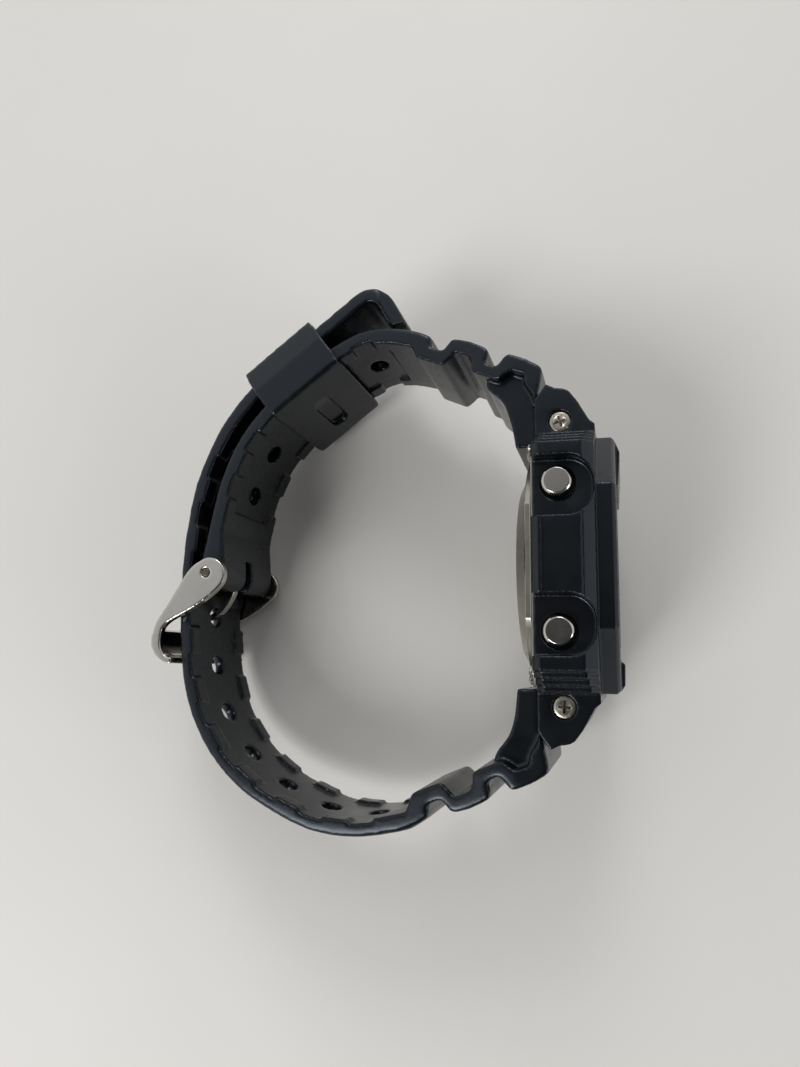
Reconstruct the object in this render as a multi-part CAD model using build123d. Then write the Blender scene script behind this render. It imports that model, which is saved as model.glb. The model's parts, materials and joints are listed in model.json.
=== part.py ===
from build123d import *
from collections import namedtuple
import math
import os

# A digital watch in black resin, fastened into a loop. All sizes are in millimetres.
# The watch is built square to its own case: +X points out of the dial, +Y to twelve o'clock and
# +Z out of the nine o'clock side. The origin is then the middle of the case. At the end the whole
# watch is tilted onto its three o'clock side, as it lies on a table.

# The two sizes that the case, its covers and its module follow
case_width = 42.8
body_length = 36.0

# Case, outside
guard_inset = 3.6
rim_front_x = 5.5
rim_base_x = 3.0
case_back_x = -5.0
rim_inset = 0.7
rim_side_inset = 2.1
rim_corner = 8.2
rim_edge = 0.5
guard_back_bevel = 0.9
guard_front_bevel = 1.55
step_length = 0.9
step_width_shares = (0.74, 0.46, 0.2)
cut_over = 2.0
fit_gap = 0.05

# Horns that cover the strap's ends
horn_side_inset = 6.9
horn_length = 7.3
horn_reach_shares = ((0.0, 0.18), (0.09, 0.26), (0.29, 0.65), (0.42, 0.84), (0.5, 0.89), (0.66, 0.92))
horn_tip_share = 0.8
horn_tip_y_share = 1.0
horn_back_y_share = 0.7
horn_skin_x = 1.45
horn_skin_y = 0.8
horn_side_wall = 2.1

# Raised lips on the front rim
lip_width = 18.0
lip_height = 0.65
lip_12_y_shares = (0.6, 0.62, 0.91, 1.0)
lip_12_rise_shares = (0.0, 0.46, 0.95, 0.0)
lip_6_y_shares = (0.75, 0.775, 0.935, 0.98)
lip_6_rise_shares = (0.0, 0.92, 0.8, 0.05)

# Button guards
button_x = -1.75
button_inset = 4.9
recess_length = 7.7
recess_offset = 0.75
recess_front_x = 2.85
recess_depth = 2.9
recess_corner = 3.3
panel_depth = 0.2
panel_front_x = 1.45
panel_back_x = -3.75
button_hole_gap = 0.3

# Inner case
guard_depth = 4.5
body_corner = 4.2
body_front_x = 2.6
front_wall = 0.7
end_wall = 3.0
side_wall = 3.5
cavity_corner = 4.0
ring_end_inset = 4.8
ring_side_inset = 1.7
ring_corner = 4.0
ring_front_x = 4.4
ring_gap = 0.1
lug_width = 4.0
lug_clearance = 0.1

# Glass and its seal
ring_wall = 0.85
crystal_corner = 3.6
crystal_thickness = 1.9
seal_width = 0.45
window_lip = 2.2
window_corner = 3.4
seat_ledge = 1.2
seat_corner = 3.2

# Display and module
face_plate_thickness = 0.3
face_opening_corner = 1.5
lcd_end_inset = 2.1
lcd_side_inset = 1.75
lcd_end_cover = 1.0
lcd_side_cover = 0.75
lcd_thickness = 1.3
pocket_gap = 0.05
light_end_inset = 1.3
light_side_inset = 1.35
light_thickness = 1.0
led_length = 2.4
led_width = 1.2
connector_width = 1.0
connector_gap = 0.2
connector_inset = 0.95
frame_gap = 1.1
frame_corner = 3.5
frame_end_wall = 0.9
frame_side_wall = 1.0
board_corner = 3.6
board_thickness = 0.8
tray_length = 13.0
tray_width = 13.0
tray_depth = 1.6
chip_size = 5.0
chip_thickness = 1.0
chip_place = -3.0
can_radius = 0.75
can_length = 6.0
can_place = 4.5
battery_wall = 0.6
battery_thickness = 1.6
battery_gap = 0.1
clip_length = 23.0
clip_width = 7.0
clip_round_share = 0.25
clip_thickness = 0.2
contact_length = 1.7
contact_width = 1.7
contact_thickness = 0.2
contact_gap = 0.2

# Case back
plate_end_inset = 1.5
plate_side_inset = 1.7
plate_thickness = 0.6
plate_corner = 1.6
ledge_screw_gap = 1.83
ledge_height = 0.85
ledge_margin = 0.15
dome_inset = 1.9
dome_slope = 2.5
dome_height = 1.45
hollow_inset = 2.1
hollow_slope = 2.7
gasket_reach = 0.7
gasket_corner = 4.3
gasket_section = 0.6
buzzer_radius = 9.0
buzzer_thickness = 0.25
pad_radius = 9.8
pad_hole_radius = 1.3
buzzer_spring_place = -6.6
back_screw_end_inset = 1.5
back_screw_side_inset = 2.0
back_screw_radius = 0.6
back_screw_head_radius = 1.25
back_screw_head = 0.5
back_screw_round_share = 0.6
back_screw_length = 3.2
thread_gap = 0.02

# Screws in the horns
bezel_screw_x = -1.6
bezel_screw_past_body = 1.0
bezel_screw_radius = 0.8
bezel_screw_head_radius = 1.42
bezel_screw_head = 0.9
bezel_screw_sink = 0.2
bezel_screw_length = 4.2
bezel_screw_gap = 0.12
cross_length = 1.9
cross_width = 0.42
cross_depth = 0.45

# Buttons
cap_radius = 1.95
cap_sink = 1.1
cap_thickness = 0.8
cap_skirt = 1.1
cap_bore_radius = 1.62
cap_bevel = 0.3
stem_radius = 0.88
stem_gap = 0.05
stem_past_wall = 0.6
bush_radius = 1.6
button_travel = 0.8
seal_ring_radius = 0.17
seal_place = 1.4
clip_radius = 1.35
clip_mouth_share = 1.6
clip_sheet = 0.2
clip_play = 0.1
groove_depth = 0.3
spring_wire = 0.24
spring_turns = 3.5
spring_radius = 1.3

# Spring bars
bar_x = -3.0
bar_past_body = 3.2
bar_radius = 0.75
bar_tip_radius = 0.45
bar_tip_length = 1.2
bar_gap = 0.05
bar_end_gap = 0.2
boss_radius = 1.35

# Strap
loop_reach = 60.0
loop_past_body = 19.0
strap_side_gap = 0.8
strap_width_shares = ((0.0, 1.0), (0.14, 1.0), (0.34, 0.87), (0.6, 0.81), (1.1, 0.75))
block_side_inset = 2.0
strap_tongue_gap = 0.2
strap_seat_gap = 0.1
crest_corner = 0.9
valley_corner = 0.5
buckle_strap_thickness = 2.6
tip_strap_thickness = 2.4

# Corrugations beside the case, in steps of the distance from one valley to the next, away from
# the case and outward from the line that the corrugations follow
corrugation_pitch = 8.65
corrugation_start_x = -3.4
corrugation_past_body = 9.0
corrugation_angle = 155.0
nearer_at_6 = 0.45
lower_at_6 = 0.3
corrugation_top_shares = (
    (0.07, -0.1), (0.13, 0.08), (0.44, 0.115), (0.78, 0.105), (0.86, -0.17), (1.07, -0.165),
    (1.09, 0.045), (1.2, 0.09), (1.5, 0.105), (1.81, 0.065), (1.89, -0.195), (2.13, -0.19),
    (2.18, -0.005))
corrugation_under_shares = (
    (2.3, -0.45), (1.77, -0.435), (1.69, -0.25), (1.66, -0.15), (1.39, -0.14),
    (1.3, -0.22), (1.24, -0.385), (0.73, -0.375), (0.65, -0.25), (0.58, -0.15), (0.36, -0.14),
    (0.3, -0.27), (0.1, -0.4))
corner_room_share = 0.45

# Inner face of the block behind the corrugations at each end, in the same steps
block_12_shares = ((0.95, -0.3), (0.83, -0.55), (0.69, -0.59), (0.56, -0.64), (0.4, -0.78),
                   (0.21, -1.0))
block_6_shares = ((0.9, -0.33), (0.74, -0.53), (0.56, -0.62), (0.4, -0.75), (0.23, -0.98))
block_plate_gap = 0.4
block_end_thickness = 3.1
block_root_share = (0.35, -0.05)

# Route of the buckle half from the corrugations to the pin, as shares of the loop's reach and of
# its half height, with the heading in degrees
buckle_route_shares = ((-0.387, 0.94, 162.0), (-0.487, 0.973, 178.0))
buckle_route_end_shares = ((-0.904, 0.349, 256.0), (-0.932, 0.074, 267.0))
pin_x_share = -0.932
pin_y_share = -0.011
buckle_end_heading = 270.0

# The same for the tip half, from the corrugations round the bottom to the keeper
tip_route_shares = (
    (-0.389, -0.949, 196.0), (-0.553, -0.994, 180.0), (-0.779, -0.881, 151.0),
    (-0.98, -0.438, 102.0), (-1.001, -0.084, 91.0), (-0.992, 0.208, 83.0),
    (-0.967, 0.41, 71.5))
tail_straight = 15.0
tail_curl_radius = 2.9
tail_curl_angle = 99.0
tail_end_length = 3.4
tail_width_share = 1.0
tail_nose_share = 0.62
tail_nose_length = 5.0
layer_gap = 1.7

# Keeper
keeper_x_share = -0.7
keeper_y_share = 0.813
keeper_heading = 217.5
keeper_length = 13.5
keeper_wall = 1.1
keeper_inner_wall = 0.6
keeper_side_wall = 1.5
keeper_gap = 0.35
keeper_side_gap = 0.3
keeper_travel = 3.0
keeper_margin = 0.45
keeper_bend_radius = 45.0
keeper_bevel_out = 4.4
keeper_bevel_side = 1.3

# Scooped slot in the keeper's inner wall: it sinks in from one side and ends round past the middle
keeper_slot_width = 3.0
keeper_slot_start = 5.0
keeper_slot_ramp = 4.5
keeper_slot_reach = 6.5
keeper_slot_depth = 0.8

# Holes of the strap, and the pads along the edges of its inner face
hole_pitch = 8.0
hole_length = 2.9
hole_width = 3.8
tip_hole_count = 10
crossing_step = 0.1
crossing_samples = 60
buckle_hole_count = 5
first_buckle_hole = 9.0
pad_length = 3.9
pad_width = 3.0
pad_height = 0.5

# Buckle
pin_radius = 0.65
pin_gap = 0.05
strap_eye_radius = 2.3
strap_eye_taper = 7.0
arm_thickness = 1.3
arm_gap = 0.35
arm_head_radius = 2.7
arm_head_share = (0.04, -0.025)
buckle_reach = 13.0
arm_outer_shares = ((0.0, 0.16), (-0.14, 0.11), (-0.33, -0.12), (-0.52, -0.43), (-0.62, -0.59),
                    (-0.66, -0.73))
arm_inner_shares = ((-0.55, -0.74), (-0.5, -0.62), (-0.4, -0.55), (-0.22, -0.46), (-0.03, -0.35),
                    (0.17, -0.19))
bar_outer_shares = ((-0.64, -0.66), (-0.67, -0.76), (-0.655, -0.9), (-0.59, -0.99), (-0.5, -1.05),
                    (-0.39, -1.07))
bar_inner_shares = ((-0.39, -1.0), (-0.48, -0.97), (-0.535, -0.89), (-0.55, -0.79), (-0.54, -0.69))
tongue_width = 1.5
tongue_thickness = 0.9
tongue_eye_radius = 1.35
tongue_slot_gap = 0.25
tongue_route_shares = ((-0.02, -0.1), (-0.1, -0.29), (-0.3, -0.475), (-0.53, -0.525),
                       (-0.69, -0.63), (-0.74, -0.77))
tongue_slot_length = 5.5

Segment = namedtuple("Segment", "x y heading length turn")
FRONT = (1, 0, 0)
BACK = (-1, 0, 0)
ENDS = (1, -1)

half_width = case_width / 2
half_guard = body_length / 2 - guard_inset
half_horn = half_width - horn_side_inset
body_width = case_width - 2 * guard_depth
half_body = body_width / 2
half_cavity = half_body - side_wall
cavity_length = body_length - 2 * end_wall
cavity_width = body_width - 2 * side_wall
gasket_length = cavity_length + 2 * gasket_reach
gasket_width = cavity_width + 2 * gasket_reach
rim_length = body_length - 2 * rim_inset
rim_width = case_width - 2 * rim_side_inset
button_y = half_guard - button_inset
recess_y = button_y - recess_offset
ring_length = body_length - 2 * ring_end_inset
ring_width = body_width - 2 * ring_side_inset
window_length = ring_length - 2 * window_lip
window_width = ring_width - 2 * window_lip
crystal_length = ring_length - 2 * (ring_wall + seal_width)
crystal_width = ring_width - 2 * (ring_wall + seal_width)
seat_length = crystal_length - 2 * seat_ledge
seat_width = crystal_width - 2 * seat_ledge
lcd_length = seat_length - 2 * lcd_end_inset
lcd_width = seat_width - 2 * lcd_side_inset
face_opening_length = lcd_length - 2 * lcd_end_cover
face_opening_width = lcd_width - 2 * lcd_side_cover
light_length = lcd_length - 2 * light_end_inset
light_width = lcd_width - 2 * light_side_inset
connector_place = (light_length + connector_width) / 2 + connector_gap
connector_length = lcd_width - 2 * connector_inset
stem_end_z = half_cavity - stem_past_wall
frame_length = cavity_length - 2 * frame_gap
frame_width = 2 * (stem_end_z - button_travel - contact_gap - contact_thickness)
board_length = frame_length - 2 * frame_end_wall
board_width = frame_width - 2 * frame_side_wall
battery_radius = board_width / 2 - battery_wall
plate_length = body_length - 2 * plate_end_inset
plate_width = body_width - 2 * plate_side_inset
back_screw_y = plate_length / 2 - back_screw_end_inset
back_screw_z = plate_width / 2 - back_screw_side_inset
ledge_radius = math.hypot(back_screw_y, back_screw_z) - back_screw_head_radius - ledge_screw_gap
dome_radius = ledge_radius - dome_inset
dome_top_radius = dome_radius - dome_slope
hollow_radius = dome_radius - hollow_inset
hollow_top_radius = hollow_radius - hollow_slope
bezel_screw_y = body_length / 2 + bezel_screw_past_body
bar_y = body_length / 2 + bar_past_body
cap_face_z = half_width - cap_sink
strap_half_width = half_horn - horn_side_wall - strap_side_gap
lug_gap = 2 * (half_horn - horn_side_wall - lug_clearance - lug_width)
loop_half_height = body_length / 2 + loop_past_body
corrugation_start_y = body_length / 2 + corrugation_past_body
horn_base_y = half_guard + step_length * len(step_width_shares)
lug_end_y = horn_base_y + horn_back_y_share * horn_length
crystal_back_x = ring_front_x - crystal_thickness
cavity_front_x = body_front_x - front_wall
face_back_x = crystal_back_x - face_plate_thickness
lcd_back_x = face_back_x - lcd_thickness
board_front_x = lcd_back_x - light_thickness
board_back_x = board_front_x - board_thickness
ledge_back_x = case_back_x - plate_thickness - ledge_height
hollow_back_x = case_back_x - ledge_height - dome_height
buzzer_front_x = hollow_back_x + buzzer_thickness
clip_back_x = case_back_x - clip_thickness
battery_front_x = case_back_x + battery_thickness
layer_step = (buckle_strap_thickness + tip_strap_thickness) / 2 + layer_gap


def block(x0, x1, y0, y1, z0, z1):
    """A rectangular block between three pairs of faces."""
    return Pos((x0 + x1) / 2, (y0 + y1) / 2, (z0 + z1) / 2) * Box(
        abs(x1 - x0), abs(y1 - y0), abs(z1 - z0))


def post(radius, x, y, z0, z1):
    """A round rod along the side direction."""
    return Pos(x, y, (z0 + z1) / 2) * Cylinder(radius, abs(z1 - z0))


def peg(radius, y, z, x0, x1):
    """A round rod along the front to back direction."""
    return Plane(origin=((x0 + x1) / 2, y, z), z_dir=FRONT) * Cylinder(radius, abs(x1 - x0))


def side_prism(points, z0, z1):
    """A prism through points (x, y), from z0 to z1."""
    face = Pos(0, 0, z0) * Polygon(*points)
    return extrude(face, z1 - z0, dir=(0, 0, 1))


def length_prism(points, y0, y1):
    """A prism through points (x, z), symmetric about z = 0, from y0 to y1."""
    plane = Plane(origin=(0, y0, 0), x_dir=FRONT, z_dir=(0, 1, 0))
    return extrude(plane * Polygon(*points), y1 - y0, dir=(0, 1, 0))


def octagon_slab(x0, x1, length, width, corner):
    """A slab facing the dial, a rectangle with four corners cut off."""
    y, z = length / 2, width / 2
    points = (
        (y, z - corner), (y - corner, z), (corner - y, z), (-y, z - corner),
        (-y, corner - z), (corner - y, -z), (y - corner, -z), (y, corner - z))
    return extrude(Plane.YZ.offset(x0) * Polygon(*points), x1 - x0, dir=FRONT)


def flipped(points):
    """The same outline at six o'clock."""
    return [(x, -y) for x, y in points]


def both_ends(make):
    """What make builds for twelve o'clock, at twelve and at six."""
    shape = make()
    return shape + mirror(shape, about=Plane.XZ)


def four_corners(shape):
    """A shape and its mirror images about the middle planes of the case."""
    pair = [shape, mirror(shape, about=Plane.XZ)]
    return pair + [mirror(piece, about=Plane.XY) for piece in pair]


def coil(radius, wire, turns, height):
    """A compression spring from z = 0 to z = height."""
    rise = height - wire
    path = Pos(0, 0, wire / 2) * Helix(rise / turns, rise, radius)
    return sweep(Plane(origin=path @ 0, z_dir=path % 0) * Circle(wire / 2), path=path)


# Bezel

def horn_outline():
    """The side view of a horn at twelve o'clock, from the rim to its tip and back to the case."""
    reach_x = rim_base_x - case_back_x
    points = [
        (rim_base_x - share_x * reach_x, horn_base_y + share_y * horn_length)
        for share_x, share_y in horn_reach_shares]
    points.append((
        rim_base_x - horn_tip_share * reach_x, horn_base_y + horn_tip_y_share * horn_length))
    points.append((case_back_x, lug_end_y))
    points.append((case_back_x, horn_base_y - step_length))
    points.append((rim_base_x, horn_base_y - step_length))
    return points


def horn_space_outline(gap):
    """The space under a horn's skin, less a gap all along the skin."""
    return [(x - horn_skin_x - gap, y - horn_skin_y - gap) for x, y in horn_outline()]


def guard_section(half):
    """The bezel's section from back to front at a given half width."""
    front_bevel = guard_front_bevel * min(1, half / half_width)
    side = [
        (case_back_x, half - guard_back_bevel), (case_back_x + guard_back_bevel, half),
        (rim_base_x - front_bevel, half), (rim_base_x, half - front_bevel)]
    return side + [(x, -z) for x, z in reversed(side)]


def lip(y_shares, rise_shares):
    """A raised lip across the front rim."""
    half = rim_length / 2
    points = [(rim_base_x, y_shares[0] * half)]
    points += [
        (rim_front_x + rise * lip_height, y * half) for y, rise in zip(y_shares, rise_shares)]
    points.append((rim_base_x, half))
    return points


def button_recess():
    """The space round one button, round towards the front and open towards the back."""
    back_x = case_back_x - recess_length
    outline = Pos((back_x + recess_front_x) / 2, recess_y) * RectangleRounded(
        recess_front_x - back_x, recess_length, recess_corner)
    floor = half_width - recess_depth
    return extrude(Pos(0, 0, floor) * outline, recess_depth + cut_over, dir=(0, 0, 1))


def make_bezel():
    shell = length_prism(guard_section(half_width), -half_guard, half_guard)
    for number, share in enumerate(step_width_shares):
        half = half_horn + (half_width - half_horn) * share
        end = half_guard + step_length * (number + 1)
        shell += length_prism(guard_section(half), -end, end)
    shell += both_ends(lambda: side_prism(horn_outline(), -half_horn, half_horn))
    rim = octagon_slab(rim_base_x, rim_front_x, rim_length, rim_width, rim_corner)
    rim = chamfer(rim.faces().sort_by(Axis.X)[-1].edges(), rim_edge)
    shell += rim
    shell += side_prism(lip(lip_12_y_shares, lip_12_rise_shares), -lip_width / 2, lip_width / 2)
    shell += side_prism(
        flipped(lip(lip_6_y_shares, lip_6_rise_shares)), -lip_width / 2, lip_width / 2)
    shell -= octagon_slab(
        case_back_x - cut_over, body_front_x + fit_gap,
        body_length + 2 * fit_gap, body_width + 2 * fit_gap, body_corner)
    shell -= octagon_slab(
        body_front_x, ring_front_x + ring_gap,
        ring_length + 2 * ring_gap, ring_width + 2 * ring_gap, ring_corner)
    shell -= octagon_slab(
        ring_front_x, rim_front_x + cut_over, window_length, window_width, window_corner)
    space = half_horn - horn_side_wall
    shell -= both_ends(lambda: side_prism(horn_space_outline(0), -space, space))
    for recess in four_corners(button_recess()):
        shell -= recess
    hole = post(cap_radius + button_hole_gap, button_x, button_y, half_body - cut_over, half_width)
    for cut in four_corners(hole):
        shell -= cut
    panel = block(
        panel_back_x, panel_front_x, -recess_y, recess_y,
        half_width - panel_depth, half_width + cut_over)
    shell -= panel
    shell -= mirror(panel, about=Plane.XY)
    for cut in four_corners(bezel_screw_hole()):
        shell -= cut
    return shell


def bezel_screw_hole():
    """The stepped hole for one screw in a horn's side."""
    head_floor = half_horn - bezel_screw_sink - bezel_screw_head
    hole = post(
        bezel_screw_head_radius + bezel_screw_gap, bezel_screw_x, bezel_screw_y,
        head_floor, half_horn + cut_over)
    return hole + post(
        bezel_screw_radius + thread_gap, bezel_screw_x, bezel_screw_y,
        half_horn - horn_side_wall - cut_over, half_horn)


def make_bezel_screws():
    top = half_horn - bezel_screw_sink
    under = top - bezel_screw_head
    screw = post(bezel_screw_head_radius, bezel_screw_x, bezel_screw_y, under, top)
    screw += post(
        bezel_screw_radius, bezel_screw_x, bezel_screw_y, under - bezel_screw_length, under)
    for length, width in ((cross_length, cross_width), (cross_width, cross_length)):
        screw -= block(
            bezel_screw_x - length / 2, bezel_screw_x + length / 2,
            bezel_screw_y - width / 2, bezel_screw_y + width / 2,
            top - cross_depth, top + cut_over)
    return four_corners(screw)


# Inner case

def make_center_case():
    body = octagon_slab(case_back_x, body_front_x, body_length, body_width, body_corner)
    body += octagon_slab(body_front_x, ring_front_x, ring_length, ring_width, ring_corner)
    inner = lug_gap / 2
    outer = half_horn - horn_side_wall - lug_clearance
    lug = side_prism(horn_space_outline(lug_clearance), inner, outer)
    lug &= block(case_back_x, rim_base_x, half_cavity, lug_end_y, inner, outer)
    for piece in four_corners(lug):
        body += piece
    body -= octagon_slab(
        case_back_x - cut_over, cavity_front_x, cavity_length, cavity_width, cavity_corner)
    body -= octagon_slab(
        cavity_front_x - cut_over, crystal_back_x, seat_length, seat_width, seat_corner)
    body -= octagon_slab(
        crystal_back_x, ring_front_x + cut_over,
        crystal_length + 2 * seal_width, crystal_width + 2 * seal_width, crystal_corner)
    body -= gasket_ring(gasket_section)
    holes = [
        post(bush_radius, button_x, button_y, half_cavity - cut_over, half_body + cut_over),
        post(bezel_screw_radius + thread_gap, bezel_screw_x, bezel_screw_y,
             bezel_screw_end() - bezel_screw_gap, half_horn),
        post(bar_tip_radius + bar_gap, bar_x, bar_y, inner - cut_over,
             inner + bar_tip_length + bar_end_gap),
        peg(back_screw_radius + thread_gap, back_screw_y, back_screw_z,
            case_back_x - cut_over, back_screw_end() + bezel_screw_gap)]
    for hole in holes:
        for cut in four_corners(hole):
            body -= cut
    return body


def bezel_screw_end():
    """The inner end of a screw in a horn's side."""
    return half_horn - bezel_screw_sink - bezel_screw_head - bezel_screw_length


def back_screw_end():
    """The inner end of a case back screw."""
    return case_back_x - plate_thickness + back_screw_length


def gasket_ring(depth):
    """The ring that seals the case back, lying in the inner case."""
    ring = octagon_slab(
        case_back_x, case_back_x + depth, gasket_length + gasket_section,
        gasket_width + gasket_section, gasket_corner)
    return ring - octagon_slab(
        case_back_x - cut_over, case_back_x + depth + cut_over, gasket_length - gasket_section,
        gasket_width - gasket_section, gasket_corner)


def make_back_gasket():
    return gasket_ring(gasket_section)


def make_button_bushes():
    bush = post(bush_radius, button_x, button_y, half_cavity, half_body)
    bush -= post(
        stem_radius + stem_gap, button_x, button_y, half_cavity - cut_over, half_body + cut_over)
    return four_corners(bush)


# Front

def make_crystal():
    glass = octagon_slab(
        crystal_back_x, ring_front_x, crystal_length, crystal_width, crystal_corner)
    return chamfer(glass.faces().sort_by(Axis.X)[-1].edges(), rim_edge / 2)


def make_crystal_gasket():
    seal = octagon_slab(
        crystal_back_x, ring_front_x, crystal_length + 2 * seal_width,
        crystal_width + 2 * seal_width, crystal_corner)
    return seal - octagon_slab(
        crystal_back_x - cut_over, ring_front_x + cut_over,
        crystal_length, crystal_width, crystal_corner)


def make_face_plate():
    plate = octagon_slab(
        face_back_x, crystal_back_x, seat_length - 2 * pocket_gap, seat_width - 2 * pocket_gap,
        seat_corner)
    return plate - octagon_slab(
        face_back_x - cut_over, crystal_back_x + cut_over, face_opening_length,
        face_opening_width, face_opening_corner)


# Module

def centred_block(x0, x1, length, width, y=0.0, z=0.0):
    """A block facing the dial, given by its length towards twelve and its width."""
    return block(x0, x1, y - length / 2, y + length / 2, z - width / 2, z + width / 2)


def make_lcd_panel():
    return centred_block(lcd_back_x, face_back_x, lcd_length, lcd_width)


def make_light_guide():
    return centred_block(board_front_x, lcd_back_x, light_length, light_width)


def make_light_led():
    place = (light_width + led_width) / 2
    return centred_block(board_front_x, lcd_back_x, led_length, led_width - pocket_gap, z=place)


def make_lcd_connectors():
    return [
        centred_block(board_front_x, lcd_back_x, connector_width, connector_length,
                      y=end * connector_place)
        for end in ENDS]


def make_module_frame():
    frame = octagon_slab(case_back_x, cavity_front_x, frame_length, frame_width, frame_corner)
    frame -= centred_block(
        board_front_x, cavity_front_x + cut_over, lcd_length + 2 * pocket_gap,
        lcd_width + 2 * pocket_gap)
    return frame - octagon_slab(
        case_back_x - cut_over, board_front_x, board_length + 2 * pocket_gap,
        board_width + 2 * pocket_gap, board_corner)


def make_circuit_board():
    return octagon_slab(board_back_x, board_front_x, board_length, board_width, board_corner)


def make_module_back():
    tray = octagon_slab(case_back_x, board_back_x, board_length, board_width, board_corner)
    tray -= centred_block(board_back_x - tray_depth, board_back_x + cut_over, tray_length, tray_width)
    return tray - peg(
        battery_radius + battery_gap, 0, 0, case_back_x - cut_over, battery_front_x)


def make_processor_chip():
    return centred_block(
        board_back_x - chip_thickness, board_back_x, chip_size, chip_size, y=chip_place)


def make_quartz_can():
    can = Plane(origin=(board_back_x - can_radius, can_place, 0), z_dir=(0, 0, 1))
    return can * Cylinder(can_radius, can_length)


def make_battery():
    return peg(battery_radius, 0, 0, case_back_x, battery_front_x)


def make_battery_clip():
    clip = centred_block(clip_back_x, case_back_x, clip_length, clip_width)
    return fillet(clip.edges().filter_by(Axis.X), clip_width * clip_round_share)


def make_switch_contacts():
    leaf = block(
        button_x - contact_length / 2, button_x + contact_length / 2,
        button_y - contact_width / 2, button_y + contact_width / 2,
        frame_width / 2, frame_width / 2 + contact_thickness)
    return four_corners(leaf)


# Case back

def back_dome(x0, base_radius, top_radius, height):
    """A flat-topped cone on the case back."""
    plane = Plane(origin=(x0, 0, 0), z_dir=BACK)
    align = (Align.CENTER, Align.CENTER, Align.MIN)
    return plane * Cone(base_radius, top_radius, height, align=align)


def make_case_back():
    outer_x = case_back_x - plate_thickness
    plate = octagon_slab(outer_x, case_back_x, plate_length, plate_width, plate_corner)
    ledge = peg(ledge_radius, 0, 0, ledge_back_x, outer_x)
    half_length, half_side = plate_length / 2 - ledge_margin, plate_width / 2 - ledge_margin
    plate += ledge & block(
        ledge_back_x, outer_x, -half_length, half_length, -half_side, half_side)
    plate += back_dome(ledge_back_x, dome_radius, dome_top_radius, dome_height)
    plate -= back_dome(case_back_x, hollow_radius, hollow_top_radius, ledge_height + dome_height)
    hole = peg(back_screw_radius + thread_gap, back_screw_y, back_screw_z,
               outer_x - cut_over, case_back_x + cut_over)
    for cut in four_corners(hole):
        plate -= cut
    return plate


def make_case_back_screws():
    outer_x = case_back_x - plate_thickness
    screw = peg(back_screw_head_radius, back_screw_y, back_screw_z,
                outer_x - back_screw_head, outer_x)
    screw = fillet(screw.edges().sort_by(Axis.X)[0], back_screw_head * back_screw_round_share)
    screw += peg(back_screw_radius, back_screw_y, back_screw_z, outer_x, back_screw_end())
    return four_corners(screw)


def make_buzzer_disc():
    return peg(buzzer_radius, 0, 0, hollow_back_x, buzzer_front_x)


def make_shock_pad():
    pad = peg(pad_radius, 0, 0, buzzer_front_x, clip_back_x)
    return pad - peg(pad_hole_radius, buzzer_spring_place, 0, hollow_back_x, case_back_x)


def make_buzzer_spring():
    spring = coil(pad_hole_radius - spring_wire, spring_wire, spring_turns,
                  clip_back_x - buzzer_front_x)
    return Plane(origin=(buzzer_front_x, buzzer_spring_place, 0), z_dir=FRONT) * spring


# Buttons

def button_place(end, side):
    """Turns a button built at nine o'clock, above the middle, to its own place."""
    place = Pos(button_x, end * button_y, 0)
    return place if side > 0 else place * Rot(180, 0, 0)


def make_button():
    skirt_z = cap_face_z - cap_thickness - cap_skirt
    under = cap_face_z - cap_thickness
    cap = post(cap_radius, 0, 0, skirt_z, cap_face_z)
    cap = chamfer(cap.edges().sort_by(Axis.Z)[-1], cap_bevel)
    cap -= post(cap_bore_radius, 0, 0, skirt_z - cut_over, under)
    cap += post(stem_radius, 0, 0, stem_end_z, under)
    groove_z = half_body - seal_place
    groove = post(stem_radius + cut_over, 0, 0, groove_z - 2 * seal_ring_radius,
                  groove_z + 2 * seal_ring_radius)
    groove -= post(stem_radius - groove_depth, 0, 0, half_cavity, half_body)
    cap -= groove
    low = half_cavity - clip_play - clip_sheet
    notch = post(stem_radius + cut_over, 0, 0, low, low + clip_sheet)
    notch -= post(stem_radius - groove_depth, 0, 0, low, low + clip_sheet)
    return cap - notch


def make_button_seal():
    middle = stem_radius + stem_gap - seal_ring_radius - thread_gap
    return Pos(0, 0, half_body - seal_place) * Torus(middle, seal_ring_radius)


def make_button_clip():
    low = half_cavity - clip_play - clip_sheet
    clip = post(clip_radius, 0, 0, low, low + clip_sheet)
    clip -= post(stem_radius - groove_depth, 0, 0, low - cut_over, low + cut_over)
    mouth = (stem_radius - groove_depth) * clip_mouth_share
    return clip - block(0, clip_radius + cut_over, -mouth / 2, mouth / 2,
                        low - cut_over, low + cut_over)


def make_button_spring():
    under = cap_face_z - cap_thickness
    return Pos(0, 0, half_body) * coil(spring_radius, spring_wire, spring_turns, under - half_body)


# Strap routes

def unit(heading):
    """The direction of a heading in degrees."""
    return math.cos(math.radians(heading)), math.sin(math.radians(heading))


def arc_to(start, end):
    """The arc that leaves start (x, y, heading) and passes through end."""
    x0, y0, heading = start
    chord = math.hypot(end[0] - x0, end[1] - y0)
    toward = math.degrees(math.atan2(end[1] - y0, end[0] - x0))
    half_turn = (toward - heading + 180) % 360 - 180
    if abs(half_turn) < 0.01:
        return Segment(x0, y0, heading, chord, 0.0)
    bend = math.radians(half_turn)
    return Segment(x0, y0, heading, chord * bend / math.sin(bend), 2 * half_turn)


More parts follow.
